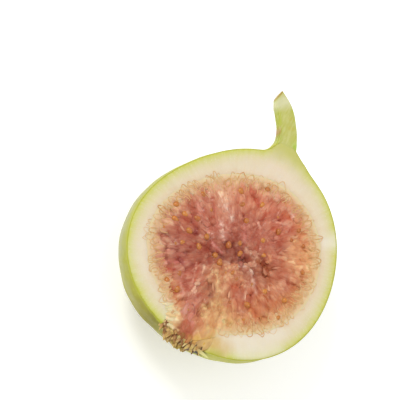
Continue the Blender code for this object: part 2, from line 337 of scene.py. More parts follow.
def closed_rings(rings: np.ndarray, flip: bool = False, tips: Any = None) -> tuple[np.ndarray, np.ndarray]:
    """Join rings of points that follow one another and close both ends with a fan.

    Args:
        rings: Points with axes of ring, step round it and x, y, z.
        flip: Whether the faces wind the other way.
        tips: The two tips of the fans, or None for the middles of the end rings.

    Returns:
        Points as rows, the tips last, and faces, the two fans last.
    """
    numbers = np.arange(rings.shape[0] * rings.shape[1]).reshape(rings.shape[:2])
    beside = np.roll(numbers, -1, axis=1)
    quads = np.stack([numbers[:-1], beside[:-1], beside[1:], numbers[1:]], axis=-1).reshape(-1, 4)
    way = -1 if flip else 1
    tips = [rings[0].mean(axis=0), rings[-1].mean(axis=0)] if tips is None else tips
    return np.concatenate([rings.reshape(-1, 3), tips]), np.concatenate(
        [quads[:, ::way], fan(numbers[0, ::-way], numbers.size), fan(numbers[-1, ::way], numbers.size + 1)])


def blade(length: float, width: float, thickness: float, cup: float, curl: float,
          tip: float = 0.7) -> tuple[np.ndarray, np.ndarray, np.ndarray]:
    """Make one closed bract or petal that points along X with its hollow side up.

    Args:
        length: Length from root to tip.
        width: Greatest width.
        thickness: Thickness at the middle.
        cup: Depth of the hollow across the blade.
        curl: How far the tip rises, or falls if negative.
        tip: How late the blade narrows, from 0.4 for a long point to 1 for a round end.

    Returns:
        Points, faces and the share of the way along for each point.
    """
    along, across = 12, 7
    u = np.linspace(0, 1, along)[:, None] * np.ones((1, across))
    v = np.linspace(-1, 1, across)[None, :] * np.ones((along, 1))
    half = width / 2 * (0.45 + 0.55 * np.sin(math.pi * np.clip(u, 0, 1) ** 0.8)) * (1 - u ** (3 * tip + 1)) ** 0.5
    half = np.maximum(half, 0.02 * width)
    z = cup * (v ** 2) * (half / (width / 2)) + curl * u ** 2
    slim = thickness / 2 * (1 - 0.75 * v ** 2) * (1 - 0.6 * u)
    top = np.stack([u * length, v * half, z + slim], axis=-1)
    under = np.stack([u * length, v * half, z - slim], axis=-1)
    points, faces = closed_rings(np.concatenate([top, under[:, ::-1]], axis=1), flip=True)
    return points, faces, np.concatenate([np.concatenate([u, u], axis=1).ravel(), [0.0, 1.0]])


def place(points: np.ndarray, root: Sequence[float], heading: Sequence[float], roll: float = 0.0) -> np.ndarray:
    """Turn points so that X follows a heading and Z stays as high as it can, then move them.

    Args:
        points: Points as rows.
        root: Where the origin goes.
        heading: Direction that X takes.
        roll: Turn about the heading in radians.

    Returns:
        The placed points.
    """
    x = Vector(heading).normalized()
    side = Vector((0, 0, 1)).cross(x)
    side = side.normalized() if side.length > 1e-6 else Vector((0, 1, 0))
    basis = np.array(Matrix((x, side, x.cross(side))).transposed())
    return points @ (basis @ np.array(Matrix.Rotation(roll, 3, "X"))).T + np.asarray(root)


# Node trees


class NodeGraph:
    """A node tree with helpers that add nodes and links to it."""

    PREFIX = ""

    def __init__(self, tree: bpy.types.NodeTree) -> None:
        """Keep the tree that the helpers add to."""
        self.tree = tree

    def feed(self, made: bpy.types.Node, inputs: dict) -> None:
        """Link inputs of a node to outputs, or set their values.

        Args:
            made: The node.
            inputs: A socket to link or a value to set, by input name or number.
        """
        for key, value in inputs.items():
            if isinstance(value, bpy.types.NodeSocket):
                self.tree.links.new(value, made.inputs[key])
            else:
                made.inputs[key].default_value = value

    def node(self, kind: str, inputs: Optional[dict] = None, **values: Any) -> bpy.types.Node:
        """Add a node.

        Args:
            kind: Type name of the node, in full or without the tree's usual prefix.
            inputs: A socket to link or a value to set, by input name or number.
            **values: Own properties of the node.

        Returns:
            The new node.
        """
        made = self.tree.nodes.new(kind if "Node" in kind else self.PREFIX + kind)
        for key, value in values.items():
            setattr(made, key, value)
        self.feed(made, inputs or {})
        return made


class GeometryTree(NodeGraph):
    """A Geometry Nodes tree with a geometry input, named inputs, a material input and a geometry output."""

    PREFIX = "GeometryNode"

    def __init__(self, name: str, inputs: dict[str, tuple[str, Any]]) -> None:
        """Make the tree and its sockets.

        Args:
            name: Name of the tree.
            inputs: Socket type and default value, by input name.
        """
        super().__init__(bpy.data.node_groups.new(name, "GeometryNodeTree"))
        face = self.tree.interface
        face.new_socket("Geometry", in_out="OUTPUT", socket_type="NodeSocketGeometry")
        sockets = {"Geometry": ("Geometry", None), **inputs, "Material": ("Material", None)}
        for label, (kind, value) in sockets.items():
            socket = face.new_socket(label, in_out="INPUT", socket_type="NodeSocket" + kind)
            if value is not None:
                socket.default_value = value
        self.given = self.node("NodeGroupInput").outputs

    def named(self, name: str, kind: str) -> Any:
        """Return the output of a Named Attribute node."""
        return self.node("InputNamedAttribute", {"Name": name}, data_type=kind).outputs["Attribute"]

    def finish(self, geometry: Any) -> bpy.types.NodeTree:
        """Realize the instances, set smooth shading and the material, and link the output.

        Args:
            geometry: The geometry so far.

        Returns:
            The tree.
        """
        for kind in ("RealizeInstances", "SetShadeSmooth", "SetMaterial"):
            made = self.node(kind, {"Geometry": geometry})
            geometry = made.outputs["Geometry"]
        self.feed(made, {"Material": self.given["Material"]})
        self.node("NodeGroupOutput", {"Geometry": geometry})
        return self.tree


def strand_tree() -> bpy.types.NodeTree:
    """Make the tree that sweeps a round section along each line of edges, by its own thickness."""
    made = GeometryTree("strand_sweep", {"Sides": ("Int", 7)})
    thickness = made.named("thickness", "FLOAT")
    lines = made.node("MeshToCurve", {"Mesh": made.given["Geometry"]}).outputs["Curve"]
    swell = made.node("SetCurveRadius", {"Curve": lines, "Radius": thickness}).outputs["Curve"]
    ring = made.node("CurvePrimitiveCircle", {"Resolution": made.given["Sides"], "Radius": 1.0}, mode="RADIUS")
    sweep = made.node("CurveToMesh", {"Curve": swell, "Profile Curve": ring.outputs["Curve"], "Fill Caps": True})
    if "Scale" in sweep.inputs:
        made.feed(sweep, {"Scale": thickness})
    return made.finish(sweep.outputs["Mesh"])


def scatter_tree() -> bpy.types.NodeTree:
    """Make the tree that sets one shape on each point, turned and sized by the point's own values."""
    made = GeometryTree("scatter_on_points", {"Shape": ("Object", None), "Seed": ("Int", 3)})
    shape = made.node("ObjectInfo", {"Object": made.given["Shape"]}, transform_space="ORIGINAL")
    turn = made.node("FunctionNodeEulerToRotation", {"Euler": made.named("turn", "FLOAT_VECTOR")})
    spread = made.node("InstanceOnPoints", {
        "Points": made.given["Geometry"], "Instance": shape.outputs["Geometry"],
        "Rotation": turn.outputs["Rotation"], "Scale": made.named("size", "FLOAT_VECTOR")})
    draw = made.node("FunctionNodeRandomValue", {"Seed": made.given["Seed"]}, data_type="FLOAT")
    keep = made.node("StoreNamedAttribute", {
        "Name": "draw", "Geometry": spread.outputs["Instances"], "Value": draw.outputs[1]},
        data_type="FLOAT", domain="INSTANCE")
    return made.finish(keep.outputs["Geometry"])


def run_tree(item: bpy.types.Object, tree: bpy.types.NodeTree, **values: Any) -> bpy.types.Object:
    """Run a Geometry Nodes tree on an object and keep the result as its plain mesh.

    Args:
        item: The object whose mesh is the tree's input.
        tree: The tree.
        **values: Values of its named inputs.

    Returns:
        The same object with the resulting mesh and no modifier.
    """
    modifier = item.modifiers.new(tree.name, "NODES")
    modifier.node_group = tree
    for socket in tree.interface.items_tree:
        if socket.item_type == "SOCKET" and socket.in_out == "INPUT" and socket.name in values:
            modifier[socket.identifier] = values[socket.name]
    item.update_tag()
    graph = bpy.context.evaluated_depsgraph_get()
    mesh = bpy.data.meshes.new_from_object(item.evaluated_get(graph), depsgraph=graph)
    mesh.name = item.name
    item.modifiers.clear()
    item.data = mesh
    return item


class ShaderGraph(NodeGraph):
    """A shader tree with helpers for the nodes that the finishes use."""

    PREFIX = "ShaderNode"

    def position(self) -> Any:
        """Return the Object coordinates."""
        return self.node("TexCoord").outputs["Object"]

    def effect(self, group: bpy.types.NodeTree, **values: float) -> Any:
        """Return the outputs of a shared effect, placed with its own values."""
        return self.node("Group", {"Position": self.position(), **values}, node_tree=group).outputs

    def mask(self, name: str, output: str = "Fac") -> Any:
        """Return a point attribute: its value, or another output such as "Color"."""
        return self.node("Attribute", attribute_name=name).outputs[output]

    def noise(self, vector: Any, scale: Any, detail: float = 3.0, rough: float = 0.5, twist: float = 0.0) -> Any:
        """Return noise of 0 to 1 at a vector."""
        return self.node("TexNoise", {"Vector": vector, "Scale": scale, "Detail": detail, "Roughness": rough,
                                      "Distortion": twist}).outputs["Fac"]

    def streak(self, squeeze: float, *noise: float) -> Any:
        """Return noise drawn out along Y, the way from stem to eye."""
        drawn = self.node("Mapping", {"Vector": self.position(), "Scale": (1.0, squeeze, 1.0)})
        return self.noise(drawn.outputs["Vector"], *noise)

    def maths(self, operation: str, a: Any, b: Any) -> Any:
        """Return the result of one Math node."""
        return self.node("Math", {0: a, 1: b}, operation=operation).outputs[0]

    def times(self, a: Any, b: Any) -> Any:
        """Return the product of two numbers."""
        return self.maths("MULTIPLY", a, b)

    def plus(self, a: Any, b: Any) -> Any:
        """Return the sum of two numbers."""
        return self.maths("ADD", a, b)

    def vector(self, operation: str, inputs: dict, output: str = "Vector") -> Any:
        """Return the result of one Vector Math node."""
        return self.node("VectorMath", inputs, operation=operation).outputs[output]

    def between(self, value: Any, low: float, high: float, start: float = 0.0, end: float = 1.0) -> Any:
        """Return a smooth step of a value from one range to another."""
        return self.node("MapRange", {"Value": value, "From Min": low, "From Max": high, "To Min": start,
                                      "To Max": end}, interpolation_type="SMOOTHSTEP").outputs["Result"]

    def mix(self, factor: Any, a: Any, b: Any, blend: str = "MIX") -> Any:
        """Return a mix of two colours, each an output, a screen colour or four linear numbers."""
        a, b = (linear(colour) if isinstance(colour, tuple) and len(colour) == 3 else colour for colour in (a, b))
        return self.node("Mix", {0: factor, 6: a, 7: b}, data_type="RGBA", blend_type=blend).outputs[2]

    def layers(self, colour: Any, *coats: tuple) -> Any:
        """Return a colour with coats laid over it in turn, each an amount and a colour."""
        for amount, tint in coats:
            colour = self.mix(amount, colour, tint)
        return colour

    def ramp(self, value: Any, stops: Sequence[tuple[float, Colour]]) -> Any:
        """Return a ramp of screen colours at a value.

        Args:
            value: Where the ramp is read, from 0 to 1.
            stops: Place and screen colour of each stop.

        Returns:
            The colour.
        """
        made = self.node("ValToRGB", {"Fac": value})
        band = made.color_ramp
        while len(band.elements) < len(stops):
            band.elements.new(1.0)
        for element, (stop, colour) in zip(band.elements, stops):
            element.position, element.color = stop, linear(colour)
        return made.outputs["Color"]

    def bump(self, height: Any, strength: float, depth: float, below: Any = None) -> Any:
        """Return a normal from a height and a depth in millimetres, laid over another normal if one is given."""
        under = {} if below is None else {"Normal": below}
        return self.node("Bump", {"Height": height, "Strength": strength, "Distance": depth * MM,
                                  **under}).outputs["Normal"]


class EffectGroup(ShaderGraph):
    """A shader node group with a place and numbers as inputs, and numbers as outputs."""

    def __init__(self, name: str, numbers: dict[str, float], outputs: Sequence[str]) -> None:
        """Make the group and its sockets.

        Args:
            name: Name of the group.
            numbers: Default values, by input name.
            outputs: Names of the outputs.
        """
        super().__init__(bpy.data.node_groups.new(name, "ShaderNodeTree"))
        face = self.tree.interface
        face.new_socket("Position", in_out="INPUT", socket_type="NodeSocketVector")
        for label, value in numbers.items():
            face.new_socket(label, in_out="INPUT", socket_type="NodeSocketFloat").default_value = value
        for label in outputs:
            face.new_socket(label, in_out="OUTPUT", socket_type="NodeSocketFloat")
        self.given = self.node("NodeGroupInput").outputs

    def give(self, **outputs: Any) -> bpy.types.NodeTree:
        """Link the outputs and return the group."""
        self.node("NodeGroupOutput", outputs)
        return self.tree

    def radial(self) -> Any:
        """Lay a pattern's space round the fruit, from the inputs Position, Crowding and Length.

        Returns:
            A vector that runs round the fruit in X and Y and outwards in Z, for patterns that point inwards.
        """
        flat = self.vector("MULTIPLY", {0: self.given["Position"], 1: (1.0, 1.0, 0.0)})
        reach = self.vector("LENGTH", {0: flat}, "Value")
        crowd = self.maths("DIVIDE", self.given["Crowding"], self.maths("MAXIMUM", reach, CORE))
        lift = self.node("CombineXYZ", {"Z": self.times(reach, self.given["Length"])}).outputs["Vector"]
        return self.vector("ADD", {0: self.vector("SCALE", {0: flat, "Scale": crowd}), 1: lift})


class SharedEffects:
    """The shader node groups that several finishes use, each built once."""

    def __init__(self) -> None:
        """Build the groups."""
        self.fibre, self.lobes, self.mottle = self.build_fibre(), self.build_lobes(), self.build_mottle()

    @staticmethod
    def build_fibre() -> bpy.types.NodeTree:
        """Make the group for fibres that run in towards the middle of the fruit."""
        group = EffectGroup("radial_fibre", {"Crowding": 20.0, "Length": 150.0}, ("Mask", "Height"))
        vector = group.radial()
        blend = group.plus(group.times(group.noise(vector, 1.0, 3.0, 0.6, 0.4), 0.65),
                           group.times(group.noise(vector, 3.1, 2.0), 0.35))
        return group.give(Mask=group.between(blend, 0.35, 0.65), Height=blend)

    @staticmethod
    def build_lobes() -> bpy.types.NodeTree:
        """Make the group for soft drop-shaped lobes that point inwards, each with a shade of its own."""
        group = EffectGroup("soft_lobes", {"Crowding": 10.0, "Length": 450.0}, ("Shade", "Border", "Height"))
        vector = group.radial()
        sway = group.node("TexNoise", {"Vector": vector, "Scale": 0.8, "Detail": 2.0}).outputs["Color"]
        push = group.vector("MULTIPLY_ADD", {0: sway, 1: (1.4, 1.4, 1.4), 2: vector})
        cells = group.node("TexVoronoi", {"Vector": push, "Scale": 1.0, "Randomness": 1.0, "Smoothness": 0.35},
                           feature="SMOOTH_F1").outputs
        return group.give(Shade=group.node("SeparateColor", {"Color": cells["Color"]}).outputs["Red"],
                          Border=group.between(cells["Distance"], 0.3, 0.7),
                          Height=group.between(cells["Distance"], 0.8, 0.0))

    @staticmethod
    def build_mottle() -> bpy.types.NodeTree:
        """Make the group for uneven colour at two scales with small flecks."""
        group = EffectGroup("mottle", {"Patch": 120.0, "Fleck": 900.0}, ("Patches", "Flecks", "Height"))
        where, fleck = group.given["Position"], group.given["Fleck"]
        patch = group.noise(where, group.given["Patch"], 4.0, 0.6)
        cells = group.node("TexVoronoi", {"Vector": where, "Scale": fleck, "Randomness": 1.0}).outputs["Distance"]
        return group.give(Patches=group.between(patch, 0.32, 0.68),
                          Flecks=group.between(cells, 0.12, 0.3, 1.0, 0.0),
                          Height=group.plus(group.times(patch, 0.6), group.times(group.noise(where, fleck), 0.4)))


class FinishGraph(ShaderGraph):
    """The tree of one material, with the settings that every finish needs."""

    def __init__(self, name: str) -> None:
        """Make the material and keep its Principled shader."""
        self.material = bpy.data.materials.new(name)
        self.material.use_nodes = True
        super().__init__(self.material.node_tree)
        self.shader = self.tree.nodes["Principled BSDF"]

    def surface(self, colour: Any, mottle: Any, rough: tuple, glow: tuple, grain: tuple,
                relief: Optional[tuple] = None, **plain: Any) -> bpy.types.Material:
        """Feed the shader.

        Args:
            colour: Base colour.
            mottle: Outputs of the mottle, which carry the roughness and the fine grain.
            rough: Least and greatest roughness.
            glow: Weight, colour spread and depth in millimetres of the light under the surface.
            grain: Strength and depth in millimetres of the fine grain.
            relief: Height, strength and depth in millimetres of a coarser relief over it.
            **plain: Other values, by input name with low lines for its spaces.

        Returns:
            The material.
        """
        normal = self.bump(mottle["Height"], *grain)
        self.feed(self.shader, {
            "Base Color": colour, "Roughness": self.between(mottle["Height"], 0.3, 0.7, *rough),
            "Subsurface Weight": glow[0], "Subsurface Radius": glow[1], "Subsurface Scale": glow[2] * MM,
            "Normal": self.bump(*relief, normal) if relief else normal,
            **{name.replace("_", " "): value for name, value in plain.items()}})
        return self.material


# Finishes


@dataclass(frozen=True)
class SkinFinish:
    """Waxy pale green skin with lengthwise streaks, grey bloom with a painted highlight, flecks, a painted olive shade
    low down, a painted shade side, a painted glow at the rim and a painted shadow by the eye.
    """

    effects: SharedEffects
    bright: Colour = (165, 166, 46)
    pale: Colour = (186, 184, 84)
    olive: Colour = (140, 130, 42)
    bloom: Colour = (173, 172, 135)
    edge: Colour = (190, 192, 76)
    dusk: Colour = (148, 138, 14)
    bruise: Colour = (44, 32, 20)
    roughness: float = 0.42

    def build(self) -> bpy.types.Material:
        """Make the material."""
        graph = FinishGraph("fig_skin")
        mottle = graph.effect(self.effects.mottle, Patch=110.0, Fleck=700.0)
        streak = graph.streak(0.16, 420.0, 3.0, 0.6, 0.3)
        low = graph.node("SeparateXYZ", {"Vector": graph.position()}).outputs["Z"]
        # Painted shade: the skin darkens to olive towards the floor, unevenly by the mottle.
        shade = graph.times(graph.between(low, 22 * MM, 3 * MM, 0.0, 0.7),
                            graph.between(mottle["Height"], 0.3, 0.6, 0.6, 1.0))
        bloom = graph.times(graph.mask("bloom"), graph.between(streak, 0.3, 0.6, 0.5, 1.0))
        colour = graph.layers(
            self.bright, (mottle["Patches"], self.pale), (graph.between(streak, 0.4, 0.7, 0.0, 0.45), self.pale),
            (shade, self.olive), (graph.mask("dusk"), self.dusk), (bloom, self.bloom),
            (graph.times(mottle["Flecks"], 0.3), self.pale), (graph.mask("rim"), self.edge),
            (graph.mask("bruise"), self.bruise))
        return graph.surface(colour, mottle, (self.roughness - 0.08, self.roughness + 0.12),
                             (0.12, (0.8, 1.0, 0.3), 1.5), (0.25, 0.15), (streak, 0.2, 0.12),
                             Specular_IOR_Level=0.4, IOR=1.25)


@dataclass(frozen=True)
class FleshFinish:
    """Cream cut flesh that turns yellow green towards the skin and peach towards the pulp."""

    effects: SharedEffects
    stops: tuple = ((0.0, (190, 190, 70)), (0.06, (194, 194, 86)), (0.13, (202, 199, 118)), (0.3, (212, 201, 154)),
                    (0.5, (217, 202, 170)), (1.0, (221, 204, 178)))
    leaf: Colour = (191, 188, 107)
    peach: Colour = (216, 184, 144)
    white: Colour = (228, 222, 206)
    gold: Colour = (204, 160, 70)
    olive: Colour = (176, 168, 72)
    reach: float = 6.5

    def build(self) -> bpy.types.Material:
        """Make the material."""
        graph = FinishGraph("fig_rind_flesh")
        fibre = graph.effect(self.effects.fibre, Crowding=30.0, Length=200.0)
        mottle = graph.effect(self.effects.mottle, Patch=260.0, Fleck=1500.0)
        waver = graph.between(mottle["Height"], 0.2, 0.8, -0.5, 0.5)
        skin = graph.mask("from_skin")
        depth = graph.plus(skin, graph.times(waver, graph.between(skin, 0.3, 3.0, 0.0, 1.2)))
        near_pulp = graph.between(graph.plus(graph.mask("from_pulp"), waver), 1.4, 0.0, 0.0, 0.4)
        gilt = graph.times(graph.mask("gold"), graph.between(waver, -0.5, 0.5, 0.65, 1.0))
        colour = graph.layers(
            graph.ramp(graph.maths("DIVIDE", depth, self.reach), self.stops), (near_pulp, self.peach),
            (graph.between(fibre["Mask"], 0.0, 1.0, 0.0, 0.12), self.white),
            (graph.times(mottle["Flecks"], 0.22), self.white), (graph.times(graph.mask("white"), 0.6), self.white),
            (gilt, self.gold), (graph.times(graph.mask("olive"), 0.8), self.olive), (graph.mask("neck"), self.leaf))
        return graph.surface(colour, mottle, (0.34, 0.5), (0.25, (1.0, 0.8, 0.4), 1.5), (0.25, 0.12),
                             (fibre["Height"], 0.25, 0.15), Specular_IOR_Level=0.25)


@dataclass(frozen=True)
class PulpFinish:
    """Moist translucent floret flesh: each piece's own tone, broken by soft lobes and fibres, with painted shade on
    its steep flanks.
    """

    effects: SharedEffects
    name: str
    lift: tuple = (1.22, 1.50, 1.55, 1.0)
    deep: tuple = (0.78, 0.50, 0.42, 1.0)
    pattern: float = 0.85
    flank_shade: float = 0.15
    roughness: float = 0.3
    glow: float = 0.45
    wet: float = 0.35

    def build(self) -> bpy.types.Material:
        """Make the material."""
        graph = FinishGraph(self.name)
        mottle = graph.effect(self.effects.mottle, Patch=380.0, Fleck=1500.0)
        fibre = graph.effect(self.effects.fibre, Crowding=34.0, Length=420.0)["Height"]
        lobes = graph.effect(self.effects.lobes, Crowding=11.0, Length=480.0)
        facing = graph.node("SeparateXYZ", {"Vector": graph.node("TexCoord").outputs["Normal"]}).outputs["Z"]
        lively = graph.times(graph.maths("SUBTRACT", 1.0, graph.mask("calm")), self.pattern)
        lit = graph.times(graph.between(lobes["Shade"], 0.45, 1.0),
                          graph.between(lobes["Border"], 1.0, 0.0, 0.25, 1.0))
        colour = graph.mask("tone", "Color")
        for amount, tint in ((lit, self.lift), (graph.between(lobes["Shade"], 0.5, 0.0, 0.0, 0.6), self.deep),
                             (graph.times(lobes["Border"], 0.3), self.deep),
                             (graph.between(fibre, 0.5, 0.32, 0.0, 0.6), self.deep),
                             (graph.between(fibre, 0.5, 0.68, 0.0, 0.5), self.lift)):
            colour = graph.mix(graph.times(amount, lively), colour, tint, "MULTIPLY")
        # Painted shade: surfaces that turn away from straight up are darkened towards the deep tone.
        colour = graph.mix(graph.between(facing, 0.95, 0.1, 0.0, self.flank_shade), colour, self.deep, "MULTIPLY")
        return graph.surface(colour, mottle, (self.roughness, self.roughness + 0.2),
                             (self.glow, (1.0, 0.45, 0.3), 0.8), (0.2, 0.1), (lobes["Height"], 0.35, 0.25),
                             Specular_IOR_Level=0.15, Coat_Roughness=0.12,
                             Coat_Weight=graph.between(mottle["Patches"], 0.55, 0.9, 0.0, self.wet))


@dataclass(frozen=True)
class SeedFinish:
    """Glossy amber seed coat, lighter or darker in patches and from seed to seed."""

    effects: SharedEffects
    light: Colour = (202, 130, 46)
    dark: Colour = (166, 86, 30)

    def build(self) -> bpy.types.Material:
        """Make the material."""
        graph = FinishGraph("fig_seed")
        mottle = graph.effect(self.effects.mottle, Patch=700.0, Fleck=2600.0)
        uneven = graph.plus(graph.times(mottle["Patches"], 0.5), graph.times(graph.mask("draw"), 0.5))
        return graph.surface(graph.mix(uneven, self.light, self.dark), mottle, (0.22, 0.36),
                             (0.3, (1.0, 0.2, 0.1), 0.8), (0.2, 0.08), Coat_Weight=0.2, Coat_Roughness=0.2)


@dataclass(frozen=True)
class ToneFinish:
    """A dry or fleshy surface whose tone comes with each piece, streaked along it."""

    effects: SharedEffects
    name: str
    streak: Colour
    speck: Colour
    roughness: float = 0.5
    glow: float = 0.1
    streak_share: float = 0.3

    def build(self) -> bpy.types.Material:
        """Make the material."""
        graph = FinishGraph(self.name)
        mottle = graph.effect(self.effects.mottle, Patch=420.0, Fleck=1600.0)
        streak = graph.streak(0.22, 1500.0, 2.0, 0.5, 0.2)
        colour = graph.layers(graph.mask("tone", "Color"),
                              (graph.between(streak, 0.42, 0.68, 0.0, self.streak_share), self.streak),
                              (graph.times(mottle["Patches"], 0.2), self.speck))
        return graph.surface(colour, mottle, (self.roughness - 0.1, self.roughness + 0.12),
                             (self.glow, (1.0, 0.8, 0.4), 1.0), (0.3, 0.12), (streak, 0.35, 0.1))


# Colour by place


class PulpZone(Enum):
    """Patches of colour on the cut pulp: place and reach in millimetres, and screen colour."""

    LEFT = ((-13.5, -8.5), 3.8, (152, 62, 52))
    UPPER_LEFT = ((-12.0, 2.5), 4.2, (178, 94, 72))
    BUNDLE = ((-10.4, 11.8), 2.6, (218, 168, 140))
    BUNDLE_MIDDLE = ((-8.0, 7.2), 2.2, (214, 158, 134))
    BUNDLE_END = ((-5.6, 2.6), 1.7, (206, 144, 128))
    TOP = ((-3.0, 15.0), 4.0, (208, 132, 102))
    UPPER_RIGHT = ((4.5, 13.5), 4.2, (188, 94, 70))
    FAR_RIGHT = ((16.0, 6.5), 3.8, (220, 162, 112))
    RIGHT = ((13.0, 0.5), 3.4, (188, 114, 86))
    LOWER_RIGHT = ((14.0, -6.5), 3.8, (190, 110, 66))
    LOW = ((9.5, -13.5), 3.4, (186, 110, 64))
    FAN = ((2.4, -16.0), 2.6, (224, 192, 134))
    BELOW_MIDDLE = ((-0.4, -9.0), 2.4, (206, 152, 112))
    RED_BESIDE = ((5.6, -9.6), 2.2, (186, 102, 74))
    LOWER_LEFT = ((-9.0, -13.5), 3.6, (178, 94, 76))
    EYE_SIDE = ((-4.4, -18.8), 2.4, (196, 124, 102))
    EYE_RED = ((-1.8, -22.9), 1.3, (184, 106, 78))
    EYE_PETALS = ((-8.6, -22.4), 2.8, (206, 160, 108))
    EYE_GOLD = ((3.8, -22.0), 2.4, (216, 188, 114))
    EYE_LOW = ((-5.2, -24.8), 1.6, (146, 96, 50))
    EYE_AMBER = ((1.4, -25.2), 1.5, (212, 174, 96))
    LEFT_OF_MIDDLE = ((-8.0, -3.2), 3.2, (156, 76, 58))
    MIDDLE = ((-1.0, 0.0), 2.6, (142, 68, 52))
    RIGHT_OF_MIDDLE = ((6.5, -0.8), 2.8, (152, 80, 56))
    ABOVE_MIDDLE = ((0.0, 7.0), 3.4, (170, 86, 70))
    INNER_RIGHT = ((7.5, 6.0), 3.0, (180, 98, 78))

    @classmethod
    def colour_at(cls, x: np.ndarray, y: np.ndarray, share: np.ndarray) -> np.ndarray:
        """Return the pulp's linear colour at places on the cut face.

        Args:
            x: Places across, in metres.
            y: Places along, in metres.
            share: Distance from the middle as a share of the pulp's reach.

        Returns:
            Rows of linear red, green and blue.
        """
        total = np.full(x.shape, 0.05)
        colour = np.array(linear((188, 108, 82))[:3]) * total[..., None]
        for zone in cls:
            (zx, zy), reach, tint = zone.value
            weight = np.exp(-((x / MM - zx) ** 2 + (y / MM - zy) ** 2) / reach ** 2)
            colour = colour + weight[..., None] * np.array(linear(tint)[:3])
            total = total + weight
        colour = colour / total[..., None]
        rosy, amber, cream = linear_array([(216, 160, 124), (216, 154, 98), (220, 198, 156)])
        side = np.clip(0.5 + (x - y) / (20 * MM), 0, 1)[..., None]
        inside = 1 - np.exp(-((x / MM + 2.6) ** 2 / 6.5 ** 2 + (y / MM + 24.0) ** 2 / 4.0 ** 2))
        near = (inside * np.clip((share - 0.70) / 0.16, 0, 1))[..., None]
        edge = (inside * np.clip((share - 0.86) / 0.12, 0, 1))[..., None]
        colour = colour * [0.89, 0.75, 0.68]
        colour = colour * (1 - 0.65 * near) + (rosy * (1 - side) + amber * side) * 0.65 * near
        return colour * (1 - edge) + cream * edge


